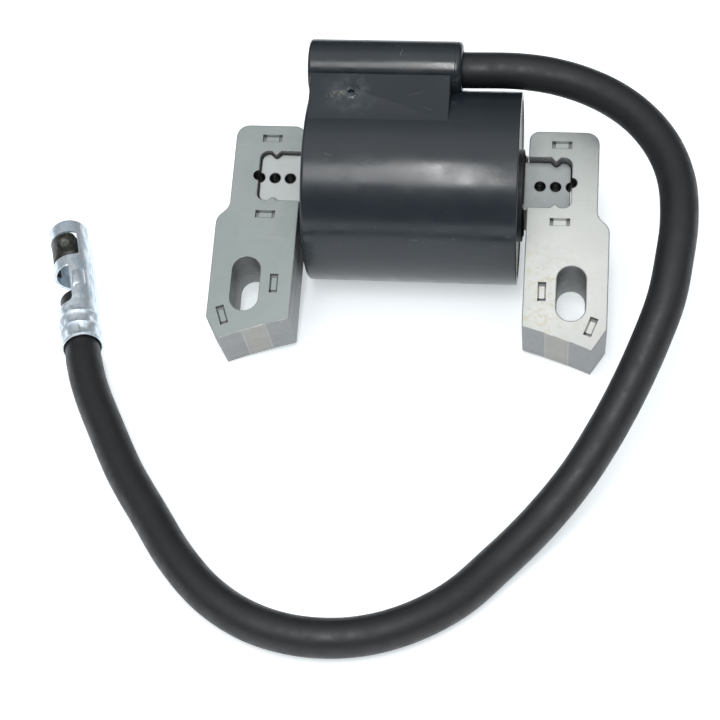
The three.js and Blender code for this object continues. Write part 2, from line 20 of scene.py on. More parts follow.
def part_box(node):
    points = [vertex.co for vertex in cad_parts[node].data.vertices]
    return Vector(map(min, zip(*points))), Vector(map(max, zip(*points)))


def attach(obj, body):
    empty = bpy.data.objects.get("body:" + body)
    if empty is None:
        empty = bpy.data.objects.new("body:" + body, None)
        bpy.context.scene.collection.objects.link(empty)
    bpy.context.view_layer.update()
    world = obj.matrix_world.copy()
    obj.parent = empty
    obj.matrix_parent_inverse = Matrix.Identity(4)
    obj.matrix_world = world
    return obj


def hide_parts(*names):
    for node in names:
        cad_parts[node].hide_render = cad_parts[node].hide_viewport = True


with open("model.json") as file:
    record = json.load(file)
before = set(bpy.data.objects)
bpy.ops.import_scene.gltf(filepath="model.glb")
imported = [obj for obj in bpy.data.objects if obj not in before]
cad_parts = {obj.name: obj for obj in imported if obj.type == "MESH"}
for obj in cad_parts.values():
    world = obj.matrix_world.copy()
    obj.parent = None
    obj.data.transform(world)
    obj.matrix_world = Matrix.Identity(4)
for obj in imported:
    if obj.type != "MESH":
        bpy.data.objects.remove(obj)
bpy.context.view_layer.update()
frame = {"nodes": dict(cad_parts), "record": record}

MM = 0.001
print("nodes in the frame:", len(frame["nodes"]))

# %% [markdown]
# ## Two working frames
#
# The coil lies tilted on the table, and the terminal points its own way, so sloping sizes would
# be awkward in table coordinates. It is easier to give each of the two a frame of its own and to
# model in plain millimetres there. The coil's frame has x along the core, y up the feet and z out
# of the sheets. The terminal's frame has x from its tail to its mouth and z up. Both are worked
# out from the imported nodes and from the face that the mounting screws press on.

# %% Coil frame and terminal frame
def middle_of(node):
    """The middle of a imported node's box."""
    low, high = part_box(node)
    return (Vector(low) + Vector(high)) / 2


screw_face = next(m for m in frame["record"]["mounts"] if m["name"] == "left_screw_seat")
face_normal = Vector(screw_face["axis"])
COIL = Matrix.Translation(middle_of("core_bar_laminations")) @ Matrix.Rotation(
    math.atan2(-face_normal.y, face_normal.z), 4, "X"
)

LEAD_STUB_MIDDLE = 6.75  # from the terminal's tail to the middle of the lead's crimped end
stub = middle_of("crimped_lead_end")
along = (middle_of("lead_wire_tip") - stub).normalized()
TERMINAL = Matrix.Translation(stub - along * LEAD_STUB_MIDDLE * MM) @ Matrix.Rotation(
    math.atan2(along.y, along.x), 4, "Z"
)
print("coil tilt, degrees:", round(math.degrees(COIL.to_euler().x), 2))
print("terminal heading, degrees:", round(math.degrees(TERMINAL.to_euler().z), 2))

# %% [markdown]
# ## Camera
#
# A long lens from above the near edge of the table keeps the feet almost parallel, as in a
# catalogue picture. The camera is placed with a matrix made of its right, up and back vectors,
# because that holds the slight roll too.

# %% Camera
EYE = Vector((0.03059, -0.26459, 0.27852))
SIGHT = Vector((-0.1074, 0.6542, -0.7486))
UP = Vector((-0.0353, 0.7500, 0.6605))
FOCAL_LENGTH, SENSOR_WIDTH = 95.54, 36
NEAREST = 0.01  # nothing closer than this is drawn

lens = bpy.data.cameras.new("camera")
lens.lens = FOCAL_LENGTH
lens.sensor_width = SENSOR_WIDTH
lens.clip_start = NEAREST
camera = bpy.data.objects.new("camera", lens)
back = -SIGHT.normalized()
right = UP.cross(back).normalized()
camera.matrix_world = Matrix.Translation(EYE) @ Matrix(
    (right, back.cross(right), back)
).transposed().to_4x4()
bpy.context.collection.objects.link(camera)
bpy.context.scene.camera = camera
print("camera height, mm:", round(EYE.z / MM))

# %% [markdown]
# ## Material helper
#
# Every finish here is one Principled shader, shaded by noise that is measured in the object's own
# space. Object coordinates cost nothing, need no unwrapping, and keep a grain at its true size on
# every piece. A mapping turns them into the coil's or the terminal's frame, so that a scratch or a
# stain has a place in millimetres. A small class holds the nodes, so that each finish reads like a
# recipe: its colour, then its mottle, then its roughness, then its relief.

# %% The Finish class
NOISE_ROUGHNESS = 0.55


class Finish:
    """A material in the making: one shader and the textures that feed it, laid out in a frame."""

    def __init__(self, name, color, roughness, metallic=0.0, frame_of_piece=COIL):
        self.material = bpy.data.materials.new(name)
        self.material.use_nodes = True
        self.tree = self.material.node_tree
        self.shader = self.tree.nodes["Principled BSDF"]
        self.shader.inputs["Base Color"].default_value = (*color, 1)
        self.shader.inputs["Roughness"].default_value = roughness
        self.shader.inputs["Metallic"].default_value = metallic
        self.color = (*color, 1)
        self.height = None
        into_frame = frame_of_piece.inverted()
        mapping = self.node("ShaderNodeMapping")
        mapping.inputs["Rotation"].default_value = into_frame.to_euler()
        mapping.inputs["Location"].default_value = into_frame.to_translation()
        self.feed(mapping.inputs["Vector"], self.node("ShaderNodeTexCoord").outputs["Object"])
        self.place = mapping.outputs["Vector"]

    def node(self, kind, **settings):
        """A new node of the given kind, with its settings."""
        made = self.tree.nodes.new(kind)
        for key, value in settings.items():
            setattr(made, key, value)
        return made

    def feed(self, socket, value):
        """Plugs another socket, or a plain value, into a socket."""
        if isinstance(value, bpy.types.NodeSocket):
            self.tree.links.new(value, socket)
        else:
            socket.default_value = value

    def math(self, operation, a, b=0.0):
        """One step of arithmetic on two values."""
        made = self.node("ShaderNodeMath", operation=operation)
        self.feed(made.inputs[0], a)
        self.feed(made.inputs[1], b)
        return made.outputs[0]

    def stretched(self, factors):
        """The place with each axis scaled, which squeezes a texture by that factor."""
        mapping = self.node("ShaderNodeMapping")
        mapping.inputs["Scale"].default_value = factors
        self.feed(mapping.inputs["Vector"], self.place)
        return mapping.outputs["Vector"]

    def grain(self, size, detail=4.0, stretch=(1, 1, 1)):
        """Soft noise whose blotches are about size millimetres across."""
        made = self.node("ShaderNodeTexNoise")
        made.inputs["Scale"].default_value = 1 / (size * MM)
        made.inputs["Detail"].default_value = detail
        made.inputs["Roughness"].default_value = NOISE_ROUGHNESS
        self.feed(made.inputs["Vector"], self.stretched(stretch))
        return made.outputs["Fac"]

    def ramp(self, value, low, high, out_low=0.0, out_high=1.0):
        """Eases a value from one range into another."""
        made = self.node("ShaderNodeMapRange", interpolation_type="SMOOTHSTEP")
        self.feed(made.inputs["Value"], value)
        limits = {"From Min": low, "From Max": high, "To Min": out_low, "To Max": out_high}
        for key, number in limits.items():
            made.inputs[key].default_value = number
        return made.outputs["Result"]

    def tint(self, mask, color):
        """Paints a colour over what is there, where the mask is bright."""
        made = self.node("ShaderNodeMix", data_type="RGBA")
        self.feed(made.inputs["Factor"], mask)
        self.feed(made.inputs["A"], self.color)
        self.feed(made.inputs["B"], (*color, 1))
        self.color = made.outputs["Result"]
        return self

    def mottle(self, size, low, high, color, strength=1.0, **grain):
        """Blotches of a second colour, about size millimetres across."""
        return self.tint(self.ramp(self.grain(size, **grain), low, high, 0, strength), color)

    def roughen(self, value, smoothest, roughest, low=0.3, high=0.7):
        """Lets the roughness waver between two limits, as value goes from low to high."""
        self.feed(self.shader.inputs["Roughness"], self.ramp(value, low, high, smoothest, roughest))
        return self

    def relief(self, height, depth):
        """Adds a height of depth millimetres to the surface's relief."""
        scaled = self.math("MULTIPLY", height, depth * MM)
        self.height = scaled if self.height is None else self.math("ADD", self.height, scaled)
        return self

    def near_point(self, point, reach):
        """1 at a point given in millimetres, falling to 0 at reach millimetres from it."""
        made = self.node("ShaderNodeVectorMath", operation="DISTANCE")
        self.feed(made.inputs[0], self.place)
        made.inputs[1].default_value = [v * MM for v in point]
        return self.ramp(made.outputs["Value"], 0, reach * MM, 1, 0)

    def near_line(self, start, end, width):
        """1 on the line between two points in millimetres, falling to 0 at width from it."""
        start, end = Vector(start) * MM, Vector(end) * MM
        from_start = self.node("ShaderNodeVectorMath", operation="SUBTRACT")
        self.feed(from_start.inputs[0], self.place)
        from_start.inputs[1].default_value = start
        share = self.node("ShaderNodeVectorMath", operation="DOT_PRODUCT")
        self.feed(share.inputs[0], from_start.outputs["Vector"])
        share.inputs[1].default_value = (end - start) / (end - start).length_squared
        kept = self.node("ShaderNodeClamp")
        self.feed(kept.inputs["Value"], share.outputs["Value"])
        foot = self.node("ShaderNodeVectorMath", operation="SCALE")
        foot.inputs[0].default_value = end - start
        self.feed(foot.inputs["Scale"], kept.outputs["Result"])
        gap = self.node("ShaderNodeVectorMath", operation="DISTANCE")
        self.feed(gap.inputs[0], from_start.outputs["Vector"])
        self.feed(gap.inputs[1], foot.outputs["Vector"])
        return self.ramp(gap.outputs["Value"], 0, width * MM, 1, 0)

    def scratches(self, lines, width, strength, color):
        """Fine marks along lines, each given by its two ends in millimetres."""
        for start, end in lines:
            self.tint(self.math("MULTIPLY", self.near_line(start, end, width), strength), color)
        return self

    def done(self):
        """Plugs the colour and the relief into the shader and hands the material over."""
        if isinstance(self.color, bpy.types.NodeSocket):
            self.feed(self.shader.inputs["Base Color"], self.color)
        if self.height is not None:
            bump = self.node("ShaderNodeBump")
            bump.inputs["Distance"].default_value = 1.0
            self.feed(bump.inputs["Height"], self.height)
            self.feed(self.shader.inputs["Normal"], bump.outputs["Normal"])
        return self.material


print("ways to shade a finish: mottle, scratches, near_point, near_line, roughen, relief")

# %% [markdown]
# ## Rubber lead
#
# The lead is 7 mm of solid extruded rubber round a wire core. A mesh tube would do, but a curve
# keeps the section perfectly round and lets the radius waver by a hair, as extruded rubber does.
# Its points are the ones that the engineering model threads its plain tube through, so both lie
# in the same place. The points are joined with a centripetal Catmull-Rom curve, which passes
# through all of them without loops.

# %% The rubber
def rubber_finish():
    """Matt rubber with a grey bloom, a fine skin and a little dust."""
    made = Finish("black_rubber", (0.0095, 0.0105, 0.0120), 0.46)
    made.mottle(9, 0.5, 0.8, (0.019, 0.021, 0.024), 0.5, detail=5)
    made.roughen(made.grain(3), 0.40, 0.56)
    made.relief(made.grain(0.35, detail=3), 0.012)
    made.relief(made.grain(2.5), 0.05)
    dust = made.ramp(made.grain(0.6, detail=2), 0.74, 0.80)
    made.tint(made.math("MULTIPLY", dust, 0.35), (0.09, 0.09, 0.09))
    return made.done()


RUBBER = rubber_finish()
print("rubber nodes:", len(RUBBER.node_tree.nodes))

# %% The lead's route
LEAD_DIAMETER = 7
TOWER_MOUTH = (8.7, 20.85, 11.95)  # in the coil's frame
SEAT_DEPTH = 16
TERMINAL_KNOTS = (-4, 1.2)  # before the terminal's tail and inside it
LEAD_ROUTE = [
    (20.5, 21.9, 37.01), (28.6, 20.1, 36.86), (36.3, 16.2, 36.54), (42.4, 10.8, 35.97),
    (46.9, 3.9, 35.15), (49.5, -4.2, 34.04), (50, -13.3, 32.36), (49.2, -20.7, 30.13),
    (47.9, -27.8, 27.1), (45.4, -34.4, 23.4), (42.1, -41.2, 18.9), (38, -48.2, 14.2),
    (33, -55.5, 9.7), (26.8, -63, 6.1), (19.9, -70.7, 4.08), (12.5, -78.8, 3.56),
    (3.6, -84.6, 3.55), (-4.9, -87.2, 3.55), (-13.8, -87.3, 3.55), (-22.3, -84.9, 3.55),
    (-30.1, -79.9, 3.55), (-37.3, -72.1, 3.55), (-43.3, -63.3, 3.55), (-49.6, -53.8, 3.56),
    (-55, -43.8, 3.65), (-59.7, -34.5, 3.93),
]

mouth = COIL @ (Vector(TOWER_MOUTH) * MM)
seat = mouth - Vector((SEAT_DEPTH * MM, 0, 0))
knots = [seat, seat.lerp(mouth, 0.5), mouth]
knots += [Vector(point) * MM for point in LEAD_ROUTE]
knots += [TERMINAL @ Vector((x * MM, 0, 0)) for x in TERMINAL_KNOTS]
print("knots on the lead:", len(knots))


# %% A smooth curve through the knots
STEPS_PER_KNOT = 8
WAVER = 0.006  # share by which the lead's radius wanders
SQUEEZED, SQUEEZE = 10, 0.045  # how many last points the crimp narrows, and by what share


def through(points, steps):
    """Points on the centripetal Catmull-Rom curve through the given points."""
    ends = [points[0] * 2 - points[1]] + points + [points[-1] * 2 - points[-2]]
    made = []
    for i in range(1, len(ends) - 2):
        p0, p1, p2, p3 = ends[i - 1:i + 3]
        d1, d2, d3 = [math.sqrt((b - a).length) for a, b in ((p0, p1), (p1, p2), (p2, p3))]
        out = (p1 - p0) / d1 - (p2 - p0) / (d1 + d2) + (p2 - p1) / d2
        into = (p2 - p1) / d2 - (p3 - p1) / (d2 + d3) + (p3 - p2) / d3
        out, into = out * d2, into * d2
        for step in range(steps):
            t = step / steps
            made.append(
                p1 * (2 * t**3 - 3 * t**2 + 1) + out * (t**3 - 2 * t**2 + t)
                + p2 * (3 * t**2 - 2 * t**3) + into * (t**3 - t**2)
            )
    return made + [points[-1]]


def lead_cable():
    """The lead as a round curve, and its length."""
    shape = bpy.data.curves.new("lead_cable", "CURVE")
    shape.dimensions = "3D"
    shape.bevel_depth = LEAD_DIAMETER / 2 * MM
    shape.bevel_resolution = 10
    shape.use_fill_caps = True
    line = shape.splines.new("POLY")
    points = through(knots, STEPS_PER_KNOT)
    line.points.add(len(points) - 1)
    for i, (target, point) in enumerate(zip(line.points, points)):
        target.co = (*point, 1)
        target.radius = 1 + WAVER * noise.noise(Vector((i * 0.13, 0, 0)))
    for i in range(SQUEEZED):
        line.points[len(points) - 1 - i].radius = 1 - SQUEEZE + SQUEEZE * min(1, i / SQUEEZED * 1.3)
    line.use_smooth = True
    made = bpy.data.objects.new("lead_cable", shape)
    made.data.materials.append(RUBBER)
    bpy.context.collection.objects.link(made)
    length = sum((b - a).length for a, b in zip(points, points[1:]))
    return made, length


LEAD, lead_length = lead_cable()
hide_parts("spark_plug_lead")
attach(LEAD, "root")
print("lead length, mm:", round(lead_length / MM, 1))

# %% [markdown]
# ## Shape helpers
#
# Two kinds of shape cover this whole object. Punched sheet starts as a flat outline, and turned
# or moulded rounds start as a profile, so one helper rounds the corners of either, and two more
# raise it into a solid. Corners carry their own radius, because a real edge is never sharp, and
# the small round is what catches the light.

# %% Rounded outlines and arcs
def arc(centre, radius, start, end, steps):
    """Points on an arc; angles in degrees, both ends included."""
    made = []
    for i in range(steps + 1):
        angle = math.radians(start + (end - start) * i / steps)
        made.append((centre[0] + radius * math.cos(angle), centre[1] + radius * math.sin(angle)))
    return made


def rounded(corners, steps=5, closed=True):
    """An outline from (x, y) or (x, y, radius) corners, each corner rounded to its radius."""
    made = []
    count = len(corners)
    for i, corner in enumerate(corners):
        here = Vector(corner[:2])
        inner = closed or 0 < i < count - 1
        if len(corner) < 3 or not inner:
            made.append(tuple(here))
            continue
        to_last = (Vector(corners[i - 1][:2]) - here).normalized()
        to_next = (Vector(corners[(i + 1) % count][:2]) - here).normalized()
        half = to_last.angle(to_next) / 2
        centre = here + (to_last + to_next).normalized() * corner[2] / math.sin(half)
        first = here + to_last * corner[2] / math.tan(half) - centre
        turn = to_last.angle(to_next) - math.pi
        side = 1 if to_last.cross(to_next) > 0 else -1
        for step in range(steps + 1):
            swept = first.copy()
            swept.rotate(Matrix.Rotation(side * turn * step / steps, 2))
            made.append(tuple(centre + swept))
    return made


print("points on a rounded square:", len(rounded([(0, 0, 1), (9, 0, 1), (9, 9, 1), (0, 9, 1)])))

# %% From mesh to piece
SHARP = math.radians(32)
WELD = 0.002 * MM  # points closer than this are one point


def settle(made, sharp=SHARP):
    """Welds stray points and closes slits, then shades smoothly up to edges steeper than sharp."""
    bm = bmesh.new()
    bm.from_mesh(made.data)
    bmesh.ops.remove_doubles(bm, verts=bm.verts, dist=WELD)
    bmesh.ops.dissolve_degenerate(bm, edges=bm.edges, dist=WELD)
    bmesh.ops.holes_fill(bm, edges=[edge for edge in bm.edges if len(edge.link_faces) == 1], sides=0)
    bmesh.ops.recalc_face_normals(bm, faces=bm.faces)
    for face in bm.faces:
        face.smooth = True
    for edge in bm.edges:
        edge.smooth = len(edge.link_faces) == 2 and edge.calc_face_angle(0) < sharp
    bm.to_mesh(made.data)
    bm.free()
    return made


def piece(name, bm, place, *materials):
    """A named object from mesh code in millimetres, laid into the frame that place gives."""
    bmesh.ops.transform(bm, matrix=place @ Matrix.Scale(MM, 4), verts=bm.verts)
    bmesh.ops.recalc_face_normals(bm, faces=bm.faces)
    mesh = bpy.data.meshes.new(name)
    bm.to_mesh(mesh)
    bm.free()
    made = bpy.data.objects.new(name, mesh)
    for material in materials:
        mesh.materials.append(material)
    bpy.context.collection.objects.link(made)
    return made


def keep_shape(made):
    """Makes what the modifiers show the piece's own mesh."""
    bpy.context.view_layer.update()
    shown = made.evaluated_get(bpy.context.evaluated_depsgraph_get())
    result = bpy.data.meshes.new_from_object(shown)
    made.modifiers.clear()
    made.data = result


def combine(body, tool, operation):
    """Joins a tool to a body, or cuts the body with it, and throws the tool away."""
    change = body.modifiers.new("shape", "BOOLEAN")
    change.operation = operation
    change.solver = "EXACT"
    change.object = tool
    keep_shape(body)
    bpy.data.objects.remove(tool)


print("a crease shows from, degrees:", round(math.degrees(SHARP)))

# %% Turned solids, rolled blocks and prisms
def turned(profile, sides=96, centre=(0, 0), warp=None):
    """A solid turned about x from (x, radius) points. warp may move each point: (x, r, angle)."""
    bm = bmesh.new()
    rings = []
    for x, radius in profile:
        ring = []
        for i in range(sides if radius > 0 else 1):
            angle = math.tau * i / sides
            px, pr = warp(x, radius, angle) if warp else (x, radius)
            y, z = centre[0] + pr * math.sin(angle), centre[1] + pr * math.cos(angle)
            ring.append(bm.verts.new((px, y, z)))
        rings.append(ring)
    if len(rings[0]) > 1:
        rings.append(rings[0])
    for low, high in zip(rings, rings[1:]):
        for i in range(sides):
            j = (i + 1) % sides
            corners = [low[i % len(low)], low[j % len(low)], high[j % len(high)], high[i % len(high)]]
            corners = list(dict.fromkeys(corners))
            if len(corners) > 2:
                bm.faces.new(corners)
    return bm


def rolled_block(low, high, radius, steps=3):
    """A block with every edge rolled to a small radius."""
    bm = bmesh.new()
    bmesh.ops.create_cube(bm, size=1)
    for vert in bm.verts:
        vert.co = [a if c < 0 else b for a, b, c in zip(low, high, vert.co)]
    bmesh.ops.bevel(bm, geom=bm.edges[:] + bm.verts[:], offset=radius, segments=steps, profile=0.5,
                    affect="EDGES")
    return bm


def raised(loops, turn):
    """A solid between two loops of points, turned about x by degrees."""
    bm = bmesh.new()
    low, high = rings = [[bm.verts.new(point) for point in loop] for loop in loops]
    for ring in rings:
        bm.faces.new(ring)
    for i in range(len(low)):
        j = (i + 1) % len(low)
        bm.faces.new((low[i], low[j], high[j], high[i]))
    bmesh.ops.rotate(bm, verts=bm.verts, matrix=Matrix.Rotation(math.radians(-turn), 3, "X"))
    return bm


print("shape helpers ready")

# %% [markdown]
# ## Stacks of punched sheets
#
# The feet are twenty sheets of electrical steel, and the bar is fifteen. A single extruded block
# would look cast. Each sheet gets its own band of the side wall here, with a tiny groove at every
# joint and a few hundredths of a millimetre of sideways play, so the stack is one closed mesh
# that still reads as sheets. The punch rolls the front edge over, and where the sheets are
# pressed into each other it leaves sunk marks with a deep slot at either end.

# %% Steel finishes
def steel_finish(name, left_color, painted_light_color):
    """Satin steel, tinted round the right foot: on the feet a painted brightening for how the light
    falls there, on the bar a darker right end.
    """
    made = Finish(name, left_color, 0.42, metallic=0.72)
    # painted light: the colour tinted in round the right foot brightens that foot for how the light
    # falls on it, and darkens the bar's right end
    made.tint(made.near_point((33, -20, 6.4), 44), painted_light_color)
    made.mottle(14, 0.35, 0.7, (0.40, 0.42, 0.40), 0.25, detail=3)
    warm = made.near_point((24, -24, 6.4), 17)
    spots = made.ramp(made.grain(1.3, detail=4), 0.46, 0.66)
    made.tint(made.math("MULTIPLY", made.math("MULTIPLY", warm, spots), 0.8), (0.52, 0.475, 0.36))
    made.mottle(0.5, 0.72, 0.80, (0.16, 0.16, 0.15), 0.5, detail=2)
    lines = [((22, -4.2, 6.4), (35.4, -3.6, 6.4)), ((27, 6.1, 6.4), (35.4, 6.3, 6.4)),
             ((-35.4, 6.6, 6.4), (-32.6, 6.4, 6.4)), ((-30, -13, 6.4), (-24, -13.4, 6.4))]
    made.scratches(lines, 0.16, 0.3, (0.42, 0.41, 0.38))
    for side in (-1, 1):
        burr = made.near_line((side * 21.8, -29.9, 6.4), (side * 27.6, -31.5, 6.4), 0.28)
        made.tint(made.math("MULTIPLY", burr, made.ramp(made.grain(0.9), 0.4, 0.6)), (0.95, 0.95, 0.95))
    made.roughen(made.grain(2.2), 0.34, 0.5, high=0.75)
    made.relief(made.grain(0.25, detail=3), 0.006)
    made.relief(made.grain(6), 0.05)
    return made.done()


def cut_edge_finish():
    """Duller punched walls, with the pole face's warmer band between its two bright lines."""
    made = Finish("cut_steel_edge", (0.285, 0.295, 0.30), 0.5, metallic=0.6)
    made.mottle(3, 0.4, 0.7, (0.315, 0.305, 0.30), 0.7, detail=5)
    for side in (-1, 1):
        band = made.near_line((side * 28.6, -31.9, -6.4), (side * 28.6, -31.9, 6.4), 2.5)
        made.tint(made.ramp(band, 0.02, 0.12, 0, 0.6), (0.40, 0.385, 0.345))
        for x, y in ((26.46, -31.2), (30.76, -32.7)):
            line = made.near_line((side * x, y, -6.4), (side * x, y, 6.4), 0.22)
            made.tint(made.math("MULTIPLY", line, 0.5), (0.60, 0.60, 0.57))
    made.mottle(0.8, 0.76, 0.82, (0.05, 0.05, 0.05), 0.7, detail=2)
    made.roughen(made.grain(1, stretch=(1, 1, 6)), 0.42, 0.6)
    made.relief(made.grain(0.5, detail=4, stretch=(6, 6, 0.5)), 0.012)
    return made.done()


def oily_shaded_hole_finish():
    """Press oil and dirt, with painted shade, which keep the small holes black."""
    made = Finish("oily_hole_painted_shade", (0.012, 0.012, 0.012), 0.5, metallic=0.2)
    made.mottle(0.5, 0.5, 0.75, (0.04, 0.042, 0.042))
    made.roughen(made.grain(0.4), 0.35, 0.6)
    made.relief(made.grain(0.3), 0.03)
    return made.done()


# the second colour of each is tinted in round the right foot: painted light that brightens the right
# foot, and a darker right end on the bar
STEEL = steel_finish("punched_steel", (0.275, 0.310, 0.298), (0.66, 0.66, 0.63))
BAR_STEEL = steel_finish("bar_steel", (0.455, 0.475, 0.465), (0.20, 0.22, 0.228))
CUT_EDGE, OILY_AND_SHADED = cut_edge_finish(), oily_shaded_hole_finish()
print("steel nodes:", len(STEEL.node_tree.nodes))

# %% Sheet sizes
SHEET = 0.64
LEG_SHEETS, BAR_SHEETS = 20, 15
GROOVE, GROOVE_HALF = 0.028, 0.045  # depth and half the width of the groove between two sheets
ROLL = 0.13  # rolled edge of the punched face
BURR = 0.05  # broken edge of the other face
FACE_INSET = 0.2  # the flat of a face starts this far in from its edge
PLAY = 0.012  # sideways play of a sheet
MARK_SIZE = (3.9, 1.6)  # where sheets are pressed together
MARK_FLOOR, MARK_SLOT = 0.5, 1.0  # depth of the mark's middle and of the slots at its ends
MARK_SLOPE = 0.32  # how far the walls of the middle lean in
MARK_END = 0.72  # length of a slot
print("thickness of a foot, mm:", round(SHEET * LEG_SHEETS, 2))


# %% Pressed marks
def mark_outline(x, y, turn):
    """The eight points round a pressed mark: its corners, and where its two slots begin."""
    half, wide = MARK_SIZE[0] / 2, MARK_SIZE[1] / 2
    stations = (-half, MARK_END - half, half - MARK_END, half)
    local = [(s, -wide) for s in stations] + [(s, wide) for s in reversed(stations)]
    c, s = math.cos(math.radians(turn)), math.sin(math.radians(turn))
    return [(x + px * c - py * s, y + px * s + py * c) for px, py in local]


def press_mark(bm, rim, inward):
    """Walls and floors of a pressed mark below its rim of eight verts."""
    def lowered(vert, depth):
        return bm.verts.new((vert.co.x, vert.co.y, vert.co.z + inward * depth))

    def towards(vert, other, depth):
        step = (other.co - vert.co).normalized() * MARK_SLOPE
        return bm.verts.new((vert.co.x + step.x, vert.co.y + step.y, vert.co.z + inward * depth))

    opposite = {1: 6, 2: 5, 5: 2, 6: 1}
    shallow = {i: towards(rim[i], rim[opposite[i]], MARK_FLOOR) for i in opposite}
    deep = {i: lowered(rim[i], MARK_SLOT) for i in range(8)}
    bm.faces.new((shallow[1], shallow[2], shallow[5], shallow[6]))
    bm.faces.new((rim[1], rim[2], shallow[2], shallow[1]))
    bm.faces.new((rim[5], rim[6], shallow[6], shallow[5]))
    slots = []
    for a, b, c, d in ((0, 1, 6, 7), (2, 3, 4, 5)):
        slots.append(bm.faces.new((deep[a], deep[b], deep[c], deep[d])))
        near, far = (b, c) if a == 0 else (a, d)
        outer = (a, d) if a == 0 else (b, c)
        slots.append(bm.faces.new((shallow[near], shallow[far], deep[far], deep[near])))
        slots.append(bm.faces.new((rim[outer[0]], rim[outer[1]], deep[outer[1]], deep[outer[0]])))
        for edge in (near, far):
            end = {1: 0, 6: 7, 2: 3, 5: 4}[edge]
            slots.append(bm.faces.new((rim[end], rim[edge], shallow[edge], deep[edge], deep[end])))
    for face in slots:
        face.material_index = 1


print("points round a mark:", len(mark_outline(0, 0, 0)))

# %% The stack itself
def inward_steps(loop, solid_inside):
    """For each point of a loop, the unit step from its edge into the steel."""
    area = sum(a[0] * b[1] - b[0] * a[1] for a, b in zip(loop, loop[1:] + loop[:1]))
    side = 1 if (area > 0) == solid_inside else -1
    made = []
    for i, point in enumerate(loop):
        before = (Vector(point) - Vector(loop[i - 1])).normalized()
        after = (Vector(loop[(i + 1) % len(loop)]) - Vector(point)).normalized()
        tangent = (before + after).normalized()
        made.append(Vector((-tangent.y, tangent.x)) * side)
    return made


def sheet_stack(name, outline, holes, sheets, marks=(), dark=(), steel=STEEL):
    """A closed stack of sheets. marks are (x, y, turn); dark are round holes (x, y, radius),
    whose walls are painted near black for press oil and for the shade inside them.
    """
    rng = random.Random(name)
    half = sheets * SHEET / 2
    levels = [(-half, FACE_INSET), (-half, ROLL * 0.5), (-half + BURR, 0)]
    for i in range(1, sheets):
        joint = -half + i * SHEET
        levels += [(joint - GROOVE_HALF, 0), (joint, GROOVE), (joint + GROOVE_HALF, 0)]
    levels += [(half - ROLL, 0), (half - ROLL * 0.3, ROLL * 0.3), (half, ROLL), (half, FACE_INSET)]
    loops = [(outline, True)] + [(hole, False) for hole in holes]
    steps = [inward_steps(loop, solid) for loop, solid in loops]
    bm = bmesh.new()
    rings = [[] for _ in loops]
    play = Vector((0, 0))
    for index, (z, inset) in enumerate(levels):
        if inset == GROOVE:
            play = Vector((rng.uniform(-1, 1), rng.uniform(-1, 1))) * PLAY
        for ring, (loop, _), step in zip(rings, loops, steps):
            ring.append([bm.verts.new((*(Vector(p) + n * inset + play), z)) for p, n in zip(loop, step)])
    for ring in rings:
        for low, high in zip(ring, ring[1:]):
            for i in range(len(low)):
                j = (i + 1) % len(low)
                face = bm.faces.new((low[i], low[j], high[j], high[i]))
                face.material_index = 1
                middle = face.calc_center_median()
                # a face by one of the round holes is painted near black, for press oil and for the shade
                # inside the hole
                if any((middle.xy - Vector((x, y))).length < radius + 0.05 for x, y, radius in dark):
                    face.material_index = 2
    for last, inward in ((0, 1), (-1, -1)):
        fills = [ring[last] for ring in rings]
        z = fills[0][0].co.z
        for mark in marks:
            rim = [bm.verts.new((px, py, z)) for px, py in mark_outline(*mark)]
            press_mark(bm, rim, inward)
            fills.append(rim)
        flat = [vert for loop in fills for vert in loop]
        for triangle in tessellate_polygon([[vert.co for vert in loop] for loop in fills]):
            bm.faces.new([flat[i] for i in triangle])
    return settle(piece(name, bm, COIL, steel, CUT_EDGE, OILY_AND_SHADED))


print("sheets in a foot:", LEG_SHEETS)

# %% [markdown]
# ## Feet of the armature
#
# Each foot has a rounded top, a pocket that the bar is pressed into, an S-shaped shoulder, a long
# mounting slot and a pole face cut to the flywheel's radius. The outline is drawn once for the
# right foot, and the left one mirrors it. The pole face shows a middle band between two fine
# lines, left by the press tool, which is a step of a few hundredths in the outline.

# %% Outline of a foot
FLYWHEEL_RADIUS = 88.6
POLE_TIP = (35.1, -34.4)
flywheel_y = POLE_TIP[1] - math.sqrt(FLYWHEEL_RADIUS**2 - POLE_TIP[0] ** 2)
SPLIT_HOLE = (30.35, 0.0, 1.05)
SLOT = (31, -22.9, 5.5, 11.1)  # middle, width and length
LEG_MARKS = [(28.3, 8, 0), (28.4, -8.3, 0), (25.5, -22.7, 90), (34.85, -29.5, 70)]
BAND_STEPS, RING_STEPS, SLOT_STEPS = 6, 14, 18  # on a pole band, a split hole and a slot's end
POCKET_WALL = 30.38  # the pocket's end, which cuts the split hole


def pole_arc():
    """The pole face from its inner corner to its tip, with a middle band a hair proud."""
    bands = ((22.3, 26.4, 0), (26.52, 30.7, 0.05), (30.82, POLE_TIP[0], 0))
    made = []
    for start, end, proud in bands:
        radius = FLYWHEEL_RADIUS - proud
        for i in range(BAND_STEPS + 1):
            x = start + (end - start) * i / BAND_STEPS
            made.append((x, flywheel_y + math.sqrt(radius**2 - x**2)))
    return made


